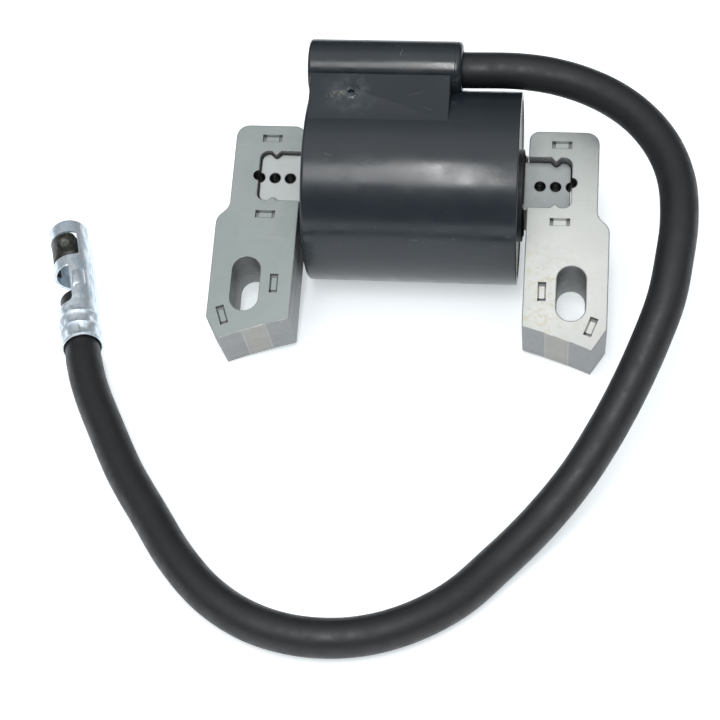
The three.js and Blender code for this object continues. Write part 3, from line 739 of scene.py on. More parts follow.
def leg_outline(mirror):
    """The foot's outline: the pole face, the outer side and shoulder, the pocket, the inner side."""
    hole_x, hole_y, hole_r = SPLIT_HOLE
    opening = math.degrees(math.acos((POCKET_WALL - hole_x) / hole_r))
    pole = pole_arc()
    above = rounded([
        (*POLE_TIP,), (37.9, -30.0, 0.4), (37.9, -9.3, 2.6), (35.5, -6.9, 2.6), (35.5, 10.8, 2.5),
        (22, 10.8, 1.9), (22, 5.3, 0.25), (26.35, 5.3, 0.35), (27.3, 4.3, 0.45), (28.25, 5.3, 0.35),
        (POCKET_WALL, 5.3, 1.6), (POCKET_WALL, 1.2),
    ], closed=False)
    below = rounded([
        (POCKET_WALL, -1.2), (POCKET_WALL, -5.25, 1.4), (28.2, -5.25, 0.35), (27.3, -4.45, 0.5),
        (26.4, -5.25, 0.35), (22, -5.25, 0.25), (22, -29.75, 0.3), pole[0],
    ], closed=False)
    ring = arc((hole_x, hole_y), hole_r, opening, -opening, RING_STEPS)
    points = pole[1:-1] + above + ring + below
    return [(-x, y) for x, y in reversed(points)] if mirror else points


def slot_outline(mirror):
    """The long mounting slot, which runs along the foot."""
    x, y, width, length = SLOT
    straight = (length - width) / 2
    points = arc((x, y + straight), width / 2, 0, 180, SLOT_STEPS)
    points += arc((x, y - straight), width / 2, 180, 360, SLOT_STEPS)
    return [(-px, py) for px, py in reversed(points)] if mirror else points


print("points round a foot:", len(leg_outline(False)))

# %% Both feet
for side, mirror in (("right", False), ("left", True)):
    sign = -1 if mirror else 1
    marks = [(sign * x, y, sign * turn) for x, y, turn in LEG_MARKS]
    # the split hole, painted near black for press oil and for its shade
    dark = [(sign * SPLIT_HOLE[0], *SPLIT_HOLE[1:])]
    foot = sheet_stack(f"{side}_foot_sheets", leg_outline(mirror), [slot_outline(mirror)],
                       LEG_SHEETS, marks, dark)
    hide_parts(f"{side}_leg_laminations")
    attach(foot, "root")
    print(foot.name, "faces:", len(foot.data.polygons))

# %% [markdown]
# ## Core bar
#
# The bar runs through the coil and locks into both pockets. Its teeth match the feet, its small
# round tooling holes are dark with press oil and with painted shade, and at either end a hole is
# shared half by the bar and half by the foot. It is pressed in by hand, so it sits a little deeper
# in the right foot than in the left; a slight shear of the finished stack shows that.

# %% The bar
RIVETS = (24.3, 27.3)  # how far the small holes are from the bar's middle
HOLE_RADIUS, HOLE_SIDES = SPLIT_HOLE[2], 24
BAR_HALF_LENGTH = 30.2
BAR_SLOPE = 0.0145  # how far the stack leans for each millimetre of its length


def bar_end(sign):
    """Half of the bar's outline, from the middle of its lower edge round one end."""
    end = BAR_HALF_LENGTH
    hole_x, hole_y, hole_r = SPLIT_HOLE
    opening = math.degrees(math.acos((end - hole_x) / hole_r))
    lower = rounded([(0, -5.1), (26.2, -5.1, 0.35), (27.3, -4.2, 0.5), (28.4, -5.1, 0.35),
                     (end, -5.1, 1.5), (end, -1.2)], closed=False)
    upper = rounded([(end, 1.2), (end, 5.1, 1.5), (28.4, 5.1, 0.35), (27.3, 4.05, 0.45),
                     (26.2, 5.1, 0.35), (0, 5.1)], closed=False)
    ring = arc((hole_x, hole_y), hole_r, -opening, opening - 360, RING_STEPS)
    points = (lower + ring + upper)[1:-1]
    return points if sign > 0 else [(-x, y) for x, y in reversed(points)]


last = 360 - 360 / HOLE_SIDES
holes = [list(reversed(arc((sign * x, 0), HOLE_RADIUS, 0, last, HOLE_SIDES - 1)))
         for sign in (-1, 1) for x in RIVETS]
# the round holes, painted near black for press oil and for their shade
dark = [(sign * x, 0, HOLE_RADIUS) for sign in (-1, 1) for x in (*RIVETS, SPLIT_HOLE[0])]
bar = sheet_stack("bar_sheets", bar_end(1) + bar_end(-1), holes, BAR_SHEETS, dark=dark,
                  steel=BAR_STEEL)
lean = Matrix.Identity(4)
lean[2][0] = -BAR_SLOPE
bar.data.transform(COIL @ lean @ COIL.inverted())
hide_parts("core_bar_laminations")
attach(bar, "root")
print(bar.name, "faces:", len(bar.data.polygons))

# %% [markdown]
# ## Moulded case
#
# The case is one moulding: a cup for the windings, a tower for the lead, and a flat block between
# them that carries the gate mark. Solids joined by an exact boolean keep the crisp creases where
# the block dies into the cup. Every part is rounded before it is joined, because a boolean is a
# poor start for a bevel afterwards.

# %% Black plastic
BLOCK_FACE = 18.15
GATE = (-11.9, 12.4, BLOCK_FACE)
GATE_PLACE = COIL @ Matrix.Translation(Vector(GATE) * MM)


def plastic_finish():
    """Glossy black plastic: haze and a scratch at the gate, small scratches, scuffs and dust."""
    made = Finish("moulded_black_plastic", (0.0140, 0.0200, 0.0255), 0.30)
    made.mottle(12, 0.4, 0.75, (0.020, 0.027, 0.033), 0.6, detail=4)
    haze = made.math("MULTIPLY", made.near_point(GATE, 6.5),
                     made.ramp(made.grain(1.6, detail=5), 0.35, 0.7))
    made.tint(made.math("MULTIPLY", haze, 0.7), (0.085, 0.10, 0.115))
    flash = made.math("MULTIPLY", made.near_line((-16.2, 11.7, 18), (-13.4, 12.2, 18), 1.0),
                      made.ramp(made.grain(0.5, detail=3), 0.5, 0.6))
    made.tint(made.math("MULTIPLY", flash, 0.8), (0.17, 0.16, 0.13))
    made.tint(made.near_line((-20.2, 12.2, 18), (-15.4, 12.1, 18), 0.16), (0.004, 0.004, 0.004))
    lines = [((2.0, 9.4, 18), (3.4, 8.8, 18)), ((-1.2, 11.8, 18), (1.5, 12.6, 18)),
             ((-3.2, 20.9, 17.5), (-2.8, 22.2, 17.4)), ((-16, -1, 18.8), (-14.6, -1.5, 18.8))]
    made.scratches(lines, 0.25, 0.5, (0.12, 0.125, 0.13))
    scuffs = made.ramp(made.grain(1.1, detail=5, stretch=(0.5, 1.4, 1)), 0.62, 0.74)
    patches = made.ramp(made.grain(13, detail=1), 0.52, 0.68)
    made.tint(made.math("MULTIPLY", made.math("MULTIPLY", scuffs, patches), 0.45), (0.10, 0.105, 0.11))
    made.mottle(0.28, 0.79, 0.83, (0.16, 0.16, 0.16), 0.6, detail=1)
    made.roughen(made.grain(4, detail=6), 0.17, 0.27)
    made.relief(made.grain(0.4, detail=4), 0.006)
    made.relief(made.grain(13, detail=1), 0.06)
    return made.done()


PLASTIC = plastic_finish()
print("plastic nodes:", len(PLASTIC.node_tree.nodes))

# %% Cup, block and tower
CUP_RADIUS, CUP_RISE = 18.87, 1.47
CUP_LEFT, CUP_RIGHT, CUP_WALL = -20.6, 20.4, 1.5
CUP_FLOOR = 1.6
CUP_MIDDLE = (CUP_RISE, 0)
SLEEVE_RADIUS = 9.0
SLEEVE_GAP = 0.15
TOWER_RADIUS, TOWER_LEFT = 5.5, -21.1
TOWER_LINE = 7.4  # a fine moulding line runs round the tower here
tower_right, tower_y, tower_z = TOWER_MOUTH
BORE_RADIUS, BORE_LEFT = 3.6, -12
# each block: low corner, high corner, rolled edge
BLOCKS = (((-20.1, 1, 1), (6.8, 16.4, BLOCK_FACE), 0.22), ((-20.1, 1, 1), (6.8, tower_y, 9.2), 0.3))


def coil_case():
    """Cup, blocks and tower in one, then hollowed, bored for the lead and pitted at the gate."""
    cup = rounded([(CUP_LEFT, 0), (CUP_LEFT, CUP_RADIUS, 0.7), (CUP_RIGHT, CUP_RADIUS, 0.25),
                   (CUP_RIGHT, 0)], steps=7, closed=False)
    body = piece("coil_case", turned(cup, 160, CUP_MIDDLE), COIL, PLASTIC)
    for low, high, roll in BLOCKS:
        combine(body, piece("block", rolled_block(low, high, roll), COIL, PLASTIC), "UNION")
    tower = rounded([
        (TOWER_LEFT, 0), (TOWER_LEFT, TOWER_RADIUS, 0.6), (TOWER_LINE - 0.1, TOWER_RADIUS, 0.1),
        (TOWER_LINE, TOWER_RADIUS - 0.05, 0.1), (TOWER_LINE + 0.1, TOWER_RADIUS, 0.1),
        (tower_right, TOWER_RADIUS - 0.05, 1.0), (tower_right, 0),
    ], steps=6, closed=False)
    combine(body, piece("tower", turned(tower, 96, (tower_y, tower_z)), COIL, PLASTIC), "UNION")
    inner, floor = CUP_RADIUS - CUP_WALL, CUP_LEFT + CUP_FLOOR
    cavity = rounded([(floor, 0), (floor, inner, 1.0), (CUP_RIGHT + 1, inner), (CUP_RIGHT + 1, 0)],
                     closed=False)
    combine(body, piece("cavity", turned(cavity, 128, CUP_MIDDLE), COIL), "DIFFERENCE")
    round_sleeve = SLEEVE_RADIUS + SLEEVE_GAP
    hole = [(CUP_LEFT - 1, 0), (CUP_LEFT - 1, round_sleeve), (0, round_sleeve), (0, 0)]
    combine(body, piece("hole", turned(hole, 96), COIL), "DIFFERENCE")
    flare = BORE_RADIUS + 0.5
    bore = [(BORE_LEFT, 0), (BORE_LEFT, BORE_RADIUS), (tower_right - 0.4, BORE_RADIUS),
            (tower_right + 0.1, flare), (tower_right + 1, flare), (tower_right + 1, 0)]
    combine(body, piece("bore", turned(bore, 64, (tower_y, tower_z)), COIL), "DIFFERENCE")
    pit = [(-0.9, 0), (-0.9, 0.45), (0.5, 0.75), (0.5, 0)]
    upright = GATE_PLACE @ Matrix.Rotation(-math.pi / 2, 4, "Y")
    pit_shape = turned(pit, 20, warp=lambda x, r, a: (x, r * (1 + 0.25 * math.sin(2 * a + 1))))
    combine(body, piece("pit", pit_shape, upright), "DIFFERENCE")
    return settle(body)


case = coil_case()
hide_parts("coil_housing")
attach(case, "root")
print(case.name, "faces:", len(case.data.polygons))

# %% [markdown]
# ## Gate mark
#
# Where the plastic was injected, a stub was torn off and left a ragged lip round the pit. A ring
# of lumpy mesh, pushed about by noise, gives it real height, so it catches the light from any
# side. Painting it on would look flat.

# %% Torn lip
def gate_lip():
    """A lumpy ring round the pit, closed underneath."""
    bm = bmesh.new()
    around, across = 40, 6
    grid = []
    for i in range(around):
        angle = math.tau * i / around
        row = []
        for j in range(across + 1):
            t = j / across
            wobble = noise.noise(Vector((math.cos(angle) * 1.6, math.sin(angle) * 1.6, j * 0.4)))
            radius = 0.62 + 0.75 * t + 0.28 * wobble
            rise = 0.16 * math.sin(math.pi * t) * (0.8 + 1.1 * wobble) - 0.03
            row.append(bm.verts.new((radius * 1.15 * math.cos(angle), radius * math.sin(angle), rise)))
        grid.append(row)
    base = [[bm.verts.new((row[k].co.x, row[k].co.y, -0.12)) for k in (across, 0)] for row in grid]
    for i in range(around):
        n = (i + 1) % around
        here, there = grid[i] + base[i], grid[n] + base[n]
        for j in range(len(here)):
            k = (j + 1) % len(here)
            bm.faces.new((here[j], there[j], there[k], here[k]))
    made = piece("gate_lip", bm, GATE_PLACE, PLASTIC)
    return settle(made, math.radians(60))


lip = gate_lip()
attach(lip, "root")
print(lip.name, "faces:", len(lip.data.polygons))

# %% [markdown]
# ## Potting resin
#
# Resin is poured into the open end of the cup and sets a little below the rim. It creeps up the
# walls, so its face is slightly dished, and it holds a few shallow sink marks. A turned disc with
# a curled edge shows the creep; noise moves its face by tenths of a millimetre.

# %% Resin
def resin_finish():
    """Pale, slightly cloudy resin with dark specks."""
    made = Finish("potting_resin", (0.40, 0.385, 0.35), 0.42)
    made.mottle(5, 0.35, 0.7, (0.33, 0.315, 0.285), detail=5)
    made.mottle(0.5, 0.72, 0.8, (0.2, 0.19, 0.17), 0.5, detail=2)
    made.shader.inputs["Subsurface Weight"].default_value = 0.08
    made.shader.inputs["Subsurface Scale"].default_value = 0.002
    made.roughen(made.grain(2), 0.32, 0.55)
    made.relief(made.grain(0.7), 0.02)
    return made.done()


RESIN = resin_finish()
RESIN_BELOW_RIM, RESIN_DEPTH = 0.5, 2.2
RESIN_CREEP = 0.28  # how far the resin climbs up the cup's wall
RESIN_STEPS = 30


def resin_fill():
    """The disc of resin, dished and sunk here and there, with a hole for the sleeve."""
    face = CUP_RIGHT - RESIN_BELOW_RIM
    outer = CUP_RADIUS - CUP_WALL - 0.01
    profile = [(face - RESIN_DEPTH, 0), (face - RESIN_DEPTH, outer), (face + RESIN_CREEP, outer)]
    for i in range(1, RESIN_STEPS):
        radius = outer * (1 - i / RESIN_STEPS)
        creep = RESIN_CREEP * math.exp(-(outer - radius) / 0.5)
        profile.append((face + creep, radius))
    profile.append((face, 0))

    def sink(x, radius, angle):
        lump = noise.noise(Vector((radius * math.cos(angle), radius * math.sin(angle), 3)) * 0.22)
        return (x + 0.12 * lump if x > face - 0.3 and radius < outer - 0.6 else x), radius

    body = piece("resin_fill", turned(profile, 128, CUP_MIDDLE, sink), COIL, RESIN)
    around = SLEEVE_RADIUS + 0.02
    hole = [(face - 4, 0), (face - 4, around), (face + 2, around), (face + 2, 0)]
    combine(body, piece("hole", turned(hole, 96), COIL), "DIFFERENCE")
    return settle(body)


resin = resin_fill()
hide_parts("potting_resin")
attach(resin, "root")
print(resin.name, "faces:", len(resin.data.polygons))

# %% [markdown]
# ## Sleeve round the core
#
# The windings sit on a nylon sleeve that stands one millimetre proud of the cup at both ends. It
# is a turned tube with a rectangular bore for the bar and its wedges, and its ends have a fine
# chamfer and a moulded rib.

# %% Sleeve
def nylon_finish():
    """Matt black nylon."""
    made = Finish("black_nylon", (0.010, 0.0105, 0.011), 0.45)
    made.mottle(3, 0.5, 0.75, (0.02, 0.021, 0.022), 0.6)
    made.roughen(made.grain(1.5), 0.36, 0.55)
    made.relief(made.grain(0.3), 0.01)
    return made.done()


NYLON = nylon_finish()


SLEEVE_PROUD = 1
SLEEVE_BORE = (5.4, 6.4)  # half its height and half its depth


def core_sleeve():
    """A turned tube with a stepped rib at either end and a rectangular bore."""
    left, right, r = CUP_LEFT - SLEEVE_PROUD, CUP_RIGHT + SLEEVE_PROUD, SLEEVE_RADIUS
    profile = rounded([
        (left, 0), (left, r - 1.1, 0.1), (left + 0.25, r - 0.9, 0.1), (left + 0.25, r, 0.2),
        (right - 0.25, r, 0.2), (right - 0.25, r - 0.9, 0.1), (right, r - 1.1, 0.1), (right, 0),
    ], steps=3, closed=False)
    body = piece("core_sleeve", turned(profile, 96), COIL, NYLON)
    half_y, half_z = SLEEVE_BORE
    bore = rolled_block((-30, -half_y, -half_z), (30, half_y, half_z), 0.5)
    combine(body, piece("bore", bore, COIL), "DIFFERENCE")
    return settle(body)


sleeve = core_sleeve()
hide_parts("primary_bobbin")
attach(sleeve, "root")
print(sleeve.name, "faces:", len(sleeve.data.polygons))

# %% [markdown]
# ## Terminal barrel
#
# The terminal is bright plated steel, rolled into a tube and crimped on the lead. It has a window
# for the snap leaf, a wide cut-away that shows the lead's end, and two crimped rings. The tube is
# turned with a warp that slants the rings and dents the crimp, and the openings are cut with
# round-cornered prisms, as a punch would do it.

# %% Zinc plating
def zinc_finish():
    """Bright plating, streaked along the barrel, on a skin that handling has dented."""
    made = Finish("bright_zinc", (0.84, 0.90, 0.95), 0.4, 0.8, TERMINAL)
    streaks = made.grain(0.9, detail=5, stretch=(0.25, 1, 1))
    made.tint(made.ramp(streaks, 0.42, 0.62), (0.58, 0.69, 0.77))
    made.mottle(0.35, 0.58, 0.70, (0.30, 0.38, 0.46), 0.7, detail=3)
    made.roughen(streaks, 0.30, 0.50)
    made.relief(made.grain(0.8, detail=4), 0.05)
    made.relief(made.grain(2.4, detail=2), 0.06)
    return made.done()


ZINC = zinc_finish()
print("zinc nodes:", len(ZINC.node_tree.nodes))

# %% Barrel
BARREL_RADIUS, BARREL_BORE, BARREL_LENGTH = 3.9, 3.4, 32.5
RINGS = (3.4, 6.4)
RING_RISE, RING_WIDTH = 0.26, 0.32
CRIMP_END, CRIMP_DEPTH = 10, 0.12  # the crimp squeezes the tube from its tail to here
OUTSIDE_STEPS = 73
DENTS = ((4.9, 0.95), (2.0, 1.0), (7.9, 0.5), (5.0, 5.3), (2.0, 6.1))  # along, and turn in radians
LEAF_TURN = 42  # degrees from the top towards the outer side
WINDOW, WINDOW_HALF = (22.4, 29.2), 3.66
CUTAWAY = (9.9, 19.9)
LEAD_END = 13.2
SHARP_ON_BARREL = math.radians(38)


def barrel_profile():
    """The outside from tail to mouth, with a point every half millimetre, then the inside back."""
    outside = [(0.0, 3.78), (0.08, 3.95), (0.3, 4.06), (0.6, 3.98)]
    for i in range(OUTSIDE_STEPS + 1):
        x = 0.9 + (BARREL_LENGTH - 1.3) * i / OUTSIDE_STEPS
        squeeze = 1 if x < CRIMP_END else math.exp(-(x - CRIMP_END) / 0.8)
        radius = BARREL_RADIUS - CRIMP_DEPTH * squeeze
        radius += sum(RING_RISE * math.exp(-(((x - ring) / RING_WIDTH) ** 2)) for ring in RINGS)
        outside.append((x, radius))
    lip = [(BARREL_LENGTH - 0.18, 3.88), (BARREL_LENGTH - 0.04, 3.78), (BARREL_LENGTH, 3.65),
           (BARREL_LENGTH - 0.04, 3.52), (BARREL_LENGTH - 0.2, 3.42)]
    inside = [(BARREL_LENGTH - 0.5, BARREL_BORE)] + [(x, BARREL_BORE) for x in range(31, 1, -1)]
    return outside + lip + inside + [(1.2, 3.42), (0.3, 3.56), (0.06, 3.66)]


def crimped(x, radius, angle):
    """Slants the rings round the crimp and presses dents into its outer side."""
    grip = 1 / (1 + math.exp((x - 10.6) / 0.35))
    shift = (0.35 * math.cos(angle + 0.6) + 0.22 * math.sin(3 * angle)) * grip * min(1, x / 2)
    dent = sum(0.34 * math.exp(-((x - at) ** 2) / 0.5 - ((angle - turn) ** 2) / 0.06)
               for at, turn in DENTS)
    lumps = 0.05 * noise.noise(Vector((x * 0.7, 2 * math.cos(angle), 2 * math.sin(angle)))) * grip
    return x + shift, radius - dent * grip + lumps


def barrel():
    """The crimped tube with its window and its cut-away."""
    body = piece("terminal_tube", turned(barrel_profile(), 96, warp=crimped), TERMINAL, ZINC)
    window = rounded([(WINDOW[0], -WINDOW_HALF, 0.7), (WINDOW[1], -WINDOW_HALF, 0.7),
                      (WINDOW[1], WINDOW_HALF, 0.7), (WINDOW[0], WINDOW_HALF, 0.7)])
    punch = raised([[(x, y, z) for x, y in window] for z in (0.4, 6)], LEAF_TURN)
    combine(body, piece("window", punch, TERMINAL), "DIFFERENCE")
    left, right = CUTAWAY
    opening = rounded([(left, 0.5, 1.0), (right, 0.5, 0.5), (right, 6), (left, 6)])
    punch = raised([[(x, y, z) for x, z in opening] for y in (-6, 6)], 90)
    combine(body, piece("cut", punch, TERMINAL), "DIFFERENCE")
    return settle(body, SHARP_ON_BARREL)


tube = barrel()
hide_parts("terminal_barrel")
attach(tube, "root")
print(tube.name, "faces:", len(tube.data.polygons))

# %% [markdown]
# ## Prong
#
# Beside the cut-away a tongue of the same sheet is folded in, to bite into the wire. It is a grid
# of points along a bent path that narrows to a tip, given its thickness by Solidify.

# %% Folded prong
SHARP_ON_SHEET = math.radians(50)


def thicken(made, thickness, rounds=1):
    """Gives a sheet of mesh its thickness and softens its edges, and keeps the result."""
    plate = made.modifiers.new("plate", "SOLIDIFY")
    plate.thickness = thickness * MM
    plate.offset = -1
    plate.use_even_offset = True
    smooth = made.modifiers.new("soft", "SUBSURF")
    smooth.levels = smooth.render_levels = rounds
    keep_shape(made)
    return settle(made, SHARP_ON_SHEET)


PRONG_PATH = [(-2.6, 3.0), (-1.9, 3.75), (-1.1, 4.2), (-0.4, 4.3), (0.2, 4.1), (0.55, 3.5), (0.66, 2.7)]
PRONG_THICKNESS = 0.45
PRONG_ACROSS = 4


def prong():
    """The tongue, from its root in the tube's wall over the bend to its tip."""
    bm = bmesh.new()
    rows = []
    for i, (y, z) in enumerate(PRONG_PATH):
        t = i / (len(PRONG_PATH) - 1)
        low, high = 14.0 - 1.2 * t, 18.6 - 3.0 * t**1.5
        row = []
        for j in range(PRONG_ACROSS + 1):
            crown = 0.12 * math.sin(math.pi * j / PRONG_ACROSS)
            row.append(bm.verts.new((low + (high - low) * j / PRONG_ACROSS, y, z + crown)))
        rows.append(row)
    for a, b in zip(rows, rows[1:]):
        for j in range(PRONG_ACROSS):
            bm.faces.new((a[j], a[j + 1], b[j + 1], b[j]))
    return thicken(piece("lead_prong", bm, TERMINAL, ZINC), PRONG_THICKNESS)


spike = prong()
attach(spike, "root")
print(spike.name, "faces:", len(spike.data.polygons))

# %% [markdown]
# ## Snap leaf
#
# A strip of dark spring bronze is rooted inside the tube and bulges a little way out through the
# window. Its round dimple clicks into the groove of the plug, and its free end is tapered, so that
# it clears the window's corners when it lifts. It flexes, so it rides on a body of its own. Bulge
# and dimple are pressed into the grid of the leaf by smooth height functions, which give soft rims
# that a boolean can't.

# %% Bronze and leaf
def bronze_finish():
    """Dark bronze, paler in the dimple and worn golden beside the root."""
    made = Finish("dark_bronze", (0.030, 0.030, 0.027), 0.42, 0.5, TERMINAL)
    made.mottle(1.4, 0.42, 0.68, (0.045, 0.044, 0.036), detail=4)
    pressed = made.near_point((DIMPLE[0], 0.78, 3.6), 1.5)
    made.tint(made.ramp(pressed, 0.15, 0.3, 0, 0.8), (0.15, 0.165, 0.135))
    gold = made.ramp(made.grain(0.45, detail=3), 0.62, 0.68)
    worn = made.near_point((23.6, 3.5, 1.2), 2.4)
    made.tint(made.math("MULTIPLY", gold, worn), (0.62, 0.55, 0.36))
    made.tint(made.math("MULTIPLY", gold, 0.25), (0.35, 0.31, 0.2))
    made.roughen(made.grain(0.9), 0.26, 0.5)
    made.relief(made.grain(0.6, detail=4), 0.025)
    return made.done()


LEAF_RADIUS, LEAF_THICKNESS = 3.3, 0.28
LEAF_START, LEAF_STOP = 21.7, 28.95
LEAF_HALF = 78  # degrees that the strip curls to either side
LEAF_BULGE, BULGE_START, BULGE_HALF = 0.45, 0.9, 64
TAPER_FROM, LEAF_TAPER = 27.0, 32  # the free end narrows by this many degrees a side
DIMPLE = (26.4, 12, 1.35)  # distance along, turn from the top, radius
DIMPLE_DEPTH, DIMPLE_RIM = 0.40, 0.10
LEAF_STEPS = 44
BRONZE = bronze_finish()


def leaf_radius(x, turn):
    """How far the leaf stands off the tube's axis: its curl, its bulge and its dimple."""
    along, around, reach = DIMPLE
    apart = math.hypot(x - along, math.radians(turn - around) * LEAF_RADIUS) / reach
    press = -DIMPLE_DEPTH / (1 + math.exp((apart - 0.82) * 14))
    press += DIMPLE_RIM * math.exp(-(((apart - 1.08) / 0.12) ** 2))
    out = 1 / (1 + math.exp(-(x - WINDOW[0] - BULGE_START) / 0.14))
    side = 1 / (1 + math.exp((abs(turn - LEAF_TURN) - BULGE_HALF) / 2.2))
    return LEAF_RADIUS + LEAF_BULGE * out * side + press


def snap_leaf():
    """A curled grid, tapered at its free end, given its thickness."""
    bm = bmesh.new()
    rows = []
    for i in range(LEAF_STEPS + 1):
        x = LEAF_START + (LEAF_STOP - LEAF_START) * i / LEAF_STEPS
        row = []
        half = LEAF_HALF - LEAF_TAPER * max(0, (x - TAPER_FROM) / (LEAF_STOP - TAPER_FROM)) ** 2
        for j in range(LEAF_STEPS + 1):
            turn = LEAF_TURN - half + 2 * half * j / LEAF_STEPS
            radius, angle = leaf_radius(x, turn), math.radians(turn)
            row.append(bm.verts.new((x, radius * math.sin(angle), radius * math.cos(angle))))
        rows.append(row)
    for a, b in zip(rows, rows[1:]):
        for j in range(LEAF_STEPS):
            bm.faces.new((a[j], b[j], b[j + 1], a[j + 1]))
    return thicken(piece("snap_leaf", bm, TERMINAL, BRONZE), LEAF_THICKNESS, rounds=0)


leaf = snap_leaf()
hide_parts("retaining_spring")
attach(leaf, "spring")
print(leaf.name, "faces:", len(leaf.data.polygons))

# %% [markdown]
# ## End of the lead inside the terminal
#
# Through the cut-away one sees the lead's cut end and the wire strands that stand out of it. The
# rubber has a rounded, slightly uneven cut, and the wire is a twist of seven strands.

# %% Lead stub and strands
STUB_START = TERMINAL_KNOTS[1]
STRANDS, STRAND_RADIUS, STRAND_ORBIT = 7, 0.27, 0.53
STRAND_LENGTH, STRAND_TWIST = 2.6, 0.35  # the twist in turns
STRAND_SIDES, STRAND_STEPS = 10, 14


def lead_stub():
    """The rubber inside the crimp, cut off a little unevenly."""
    profile = rounded([(STUB_START, 0), (STUB_START, 3.34), (LEAD_END, 3.3, 0.55), (LEAD_END, 0)],
                      steps=6, closed=False)

    def uneven(x, radius, angle):
        return (x + 0.18 * math.cos(angle + 1) if x > LEAD_END - 1 else x), radius

    return settle(piece("lead_stub", turned(profile, 64, warp=uneven), TERMINAL, RUBBER))


def copper_finish():
    """Copper strands, reddish where they were cut."""
    made = Finish("tinned_copper", (0.62, 0.34, 0.20), 0.34, 0.95, TERMINAL)
    made.mottle(1.2, 0.4, 0.7, (0.45, 0.24, 0.14), detail=4)
    made.roughen(made.grain(0.6), 0.25, 0.5)
    made.relief(made.grain(0.2, stretch=(8, 1, 1)), 0.01)
    return made.done()


COPPER = copper_finish()


def wire_strands():
    """One straight strand with the others twisted round it, each closed at both ends."""
    bm = bmesh.new()
    for k in range(STRANDS):
        orbit = 0 if k == 0 else STRAND_ORBIT
        rings = []
        for i in range(STRAND_STEPS + 1):
            share = i / STRAND_STEPS
            x = LEAD_END - 0.3 + STRAND_LENGTH * share
            angle = math.tau * (k / (STRANDS - 1) + share * STRAND_TWIST)
            cy, cz = orbit * math.cos(angle), orbit * math.sin(angle)
            radius = STRAND_RADIUS * (1 if i < STRAND_STEPS else 0.6)
            rings.append([bm.verts.new((x, cy + radius * math.cos(math.tau * n / STRAND_SIDES),
                                        cz + radius * math.sin(math.tau * n / STRAND_SIDES)))
                          for n in range(STRAND_SIDES)])
        bm.faces.new(rings[0])
        bm.faces.new(rings[-1])
        for a, b in zip(rings, rings[1:]):
            for n in range(STRAND_SIDES):
                m = (n + 1) % STRAND_SIDES
                bm.faces.new((a[n], a[m], b[m], b[n]))
    return settle(piece("wire_strands", bm, TERMINAL, COPPER))


rubber_end, strands = lead_stub(), wire_strands()
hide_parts("crimped_lead_end")
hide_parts("lead_wire_tip")
for made, slot in ((rubber_end, "rubber"), (strands, "copper")):
    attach(made, "root")
print("strands:", STRANDS)

print("declared lead length, mm:", 274)

# %% [markdown]
# ## Pieces inside the case
#
# The windings, the board and its parts are sealed in resin. Their shapes come straight from the
# engineering model, and only need the right finish for anyone who takes the coil apart. Enamelled
# wire shows as fine turns, so the copper gets a wave across the winding; the rest are plain
# moulded, plated or printed surfaces.

# %% Finishes of the inner pieces
def wound_finish():
    """Enamelled wire, with a wave across the winding for its turns."""
    made = Finish("enamelled_wire", (0.50, 0.20, 0.075), 0.3, metallic=0.7)
    wave = made.node("ShaderNodeTexWave", wave_type="BANDS", bands_direction="X")
    wave.inputs["Scale"].default_value = 1 / (0.9 * MM)
    made.feed(wave.inputs["Vector"], made.place)
    made.tint(made.ramp(wave.outputs["Fac"], 0, 0.5, 0.8, 0), (0.2, 0.06, 0.02))
    made.roughen(made.grain(2), 0.25, 0.42)
    made.relief(wave.outputs["Fac"], 0.08)
    return made.done()


def moulded_finish(name, color, shade, roughness):
    """Plain moulded plastic in a colour and its shade."""
    made = Finish(name, color, roughness)
    made.mottle(3, 0.4, 0.7, shade)
    made.roughen(made.grain(1.5), roughness - 0.08, roughness + 0.1)
    made.relief(made.grain(0.4), 0.01)
    return made.done()


def board_finish():
    """Green laminate with a woven grain and a few copper spots."""
    made = Finish("printed_board", (0.02, 0.11, 0.05), 0.4)
    weave = made.grain(0.5, stretch=(1, 4, 1))
    made.tint(made.ramp(weave, 0.45, 0.7), (0.03, 0.16, 0.07))
    made.mottle(2.5, 0.6, 0.62, (0.45, 0.30, 0.12), detail=0)
    made.roughen(weave, 0.3, 0.5)
    made.relief(weave, 0.01)
    return made.done()


def brass_finish():
    """Brass, a little tarnished."""
    made = Finish("plain_brass", (0.62, 0.47, 0.20), 0.3, metallic=0.95)
    made.mottle(1.5, 0.45, 0.7, (0.42, 0.31, 0.13), detail=5)
    made.roughen(made.grain(1), 0.22, 0.45)
    made.relief(made.grain(0.3, stretch=(1, 6, 6)), 0.008)
    return made.done()


PALE = moulded_finish("pale_plastic", (0.66, 0.62, 0.50), (0.55, 0.51, 0.40), 0.45)
EPOXY = moulded_finish("black_epoxy", (0.012, 0.012, 0.013), (0.022, 0.022, 0.024), 0.32)
WOUND, BOARD, BRASS = wound_finish(), board_finish(), brass_finish()
FINISH_OF_SLOT = {"copper": WOUND, "pale_plastic": PALE, "black_epoxy": EPOXY, "circuit_board": BOARD,
                  "brass": BRASS, "zinc_plate": ZINC}
print("inner finishes:", len(FINISH_OF_SLOT))

# %% Paint the nodes that stay
replaced = {"spark_plug_lead", "left_leg_laminations", "right_leg_laminations", "core_bar_laminations",
            "coil_housing", "potting_resin", "primary_bobbin", "terminal_barrel", "retaining_spring",
            "crimped_lead_end", "lead_wire_tip"}
painted = 0
for part in frame["record"]["subparts"]:
    node = part["node"]
    if node in replaced:
        continue
    shown = frame["nodes"][node]
    material = FINISH_OF_SLOT[part["material_slot"]]
    if not shown.material_slots:
        shown.data.materials.append(material)
    for holder in shown.material_slots:
        holder.material = material
    painted += 1
print("nodes kept and painted:", painted)

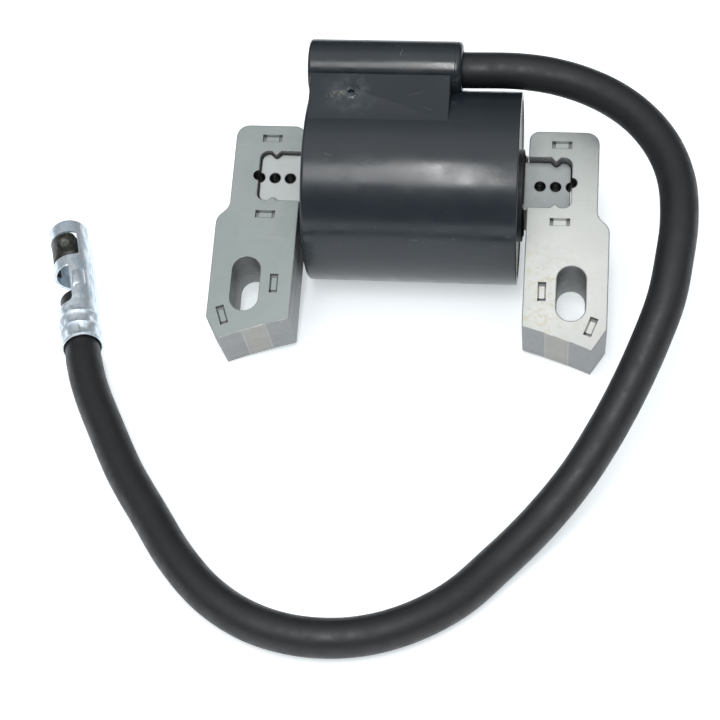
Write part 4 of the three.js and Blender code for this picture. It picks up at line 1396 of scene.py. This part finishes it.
# %% [markdown]
# ## Table and light
#
# The coil lies on a plain white table under a wide, soft sky of light, brightest overhead and dim
# near the horizon and behind the coil. That gradient is what draws the dark and bright bands on
# the black plastic. A narrow soft box above the camera adds the bright streak and a wider one on
# the left the haze next to it. The table glows a little, as a light table does, which keeps the
# shadows faint. The view transform is the plain one, so that white stays white.

# %% Table
TABLE_HALF = 3000  # half a side


def table_finish():
    """White board that glows a little."""
    made = Finish("white_table", (0.90, 0.92, 0.94), 0.6)
    made.mottle(60, 0.4, 0.7, (0.89, 0.915, 0.94), detail=2)
    made.shader.inputs["Specular IOR Level"].default_value = 0.2
    made.shader.inputs["Emission Color"].default_value = (0.93, 0.98, 1.0, 1)
    made.shader.inputs["Emission Strength"].default_value = 0.45
    return made.done()


bm = bmesh.new()
bmesh.ops.create_grid(bm, x_segments=1, y_segments=1, size=TABLE_HALF)
table = piece("table", bm, Matrix.Identity(4), table_finish())
print("table side, m:", round(table.dimensions.x, 1))

# %% Sky
SKY_TOP, SKY_LOW = 1.3, 0.24
SKY_BACK = 0.45  # share of the light that is left behind the coil
world = bpy.data.worlds.new("studio")
bpy.context.scene.world = world
world.use_nodes = True
nodes, links = world.node_tree.nodes, world.node_tree.links
direction = nodes.new("ShaderNodeTexCoord")
parts = nodes.new("ShaderNodeSeparateXYZ")
links.new(direction.outputs["Generated"], parts.inputs["Vector"])


def eased(axis, low, high, at_low, at_high):
    """A strength that goes smoothly from one value to another along an axis of the sky."""
    made = nodes.new("ShaderNodeMapRange")
    made.interpolation_type = "SMOOTHSTEP"
    limits = {"From Min": low, "From Max": high, "To Min": at_low, "To Max": at_high}
    for key, number in limits.items():
        made.inputs[key].default_value = number
    links.new(parts.outputs[axis], made.inputs["Value"])
    return made.outputs["Result"]


both = nodes.new("ShaderNodeMath")
both.operation = "MULTIPLY"
links.new(eased("Z", 0.35, 0.95, SKY_LOW, SKY_TOP), both.inputs[0])
links.new(eased("Y", 0.05, 0.6, 1.0, SKY_BACK), both.inputs[1])
links.new(both.outputs["Value"], nodes["Background"].inputs["Strength"])
nodes["Background"].inputs["Color"].default_value = (0.955, 0.98, 1.0, 1)
bpy.context.scene.view_settings.view_transform = "Standard"
print("sky strength:", SKY_LOW, "to", SKY_TOP)


# %% Soft boxes
LIT_POINT = Vector((0, 0, 0.03))  # what the boxes face


def soft_box(name, low_end, high_end, width, power):
    """A long soft light between two points, facing the coil."""
    low_end, high_end = Vector(low_end), Vector(high_end)
    lamp = bpy.data.lights.new(name, "AREA")
    lamp.shape = "RECTANGLE"
    lamp.size = width
    lamp.size_y = (high_end - low_end).length
    lamp.energy = power
    made = bpy.data.objects.new(name, lamp)
    centre = (low_end + high_end) / 2
    length = (high_end - low_end).normalized()
    out = centre - LIT_POINT
    out = (out - length * out.dot(length)).normalized()
    axes = Matrix((length.cross(out), length, out)).transposed()
    made.matrix_world = Matrix.Translation(centre) @ axes.to_4x4()
    bpy.context.collection.objects.link(made)
    return made


soft_box("key_strip", (0.016, -0.425, 0.470), (-0.024, -0.20, 0.60), 0.04, 0.85)
soft_box("left_box", (-0.15, -0.46, 0.50), (-0.15, -0.28, 0.66), 0.17, 0.55)

# %% The end
print("the end")
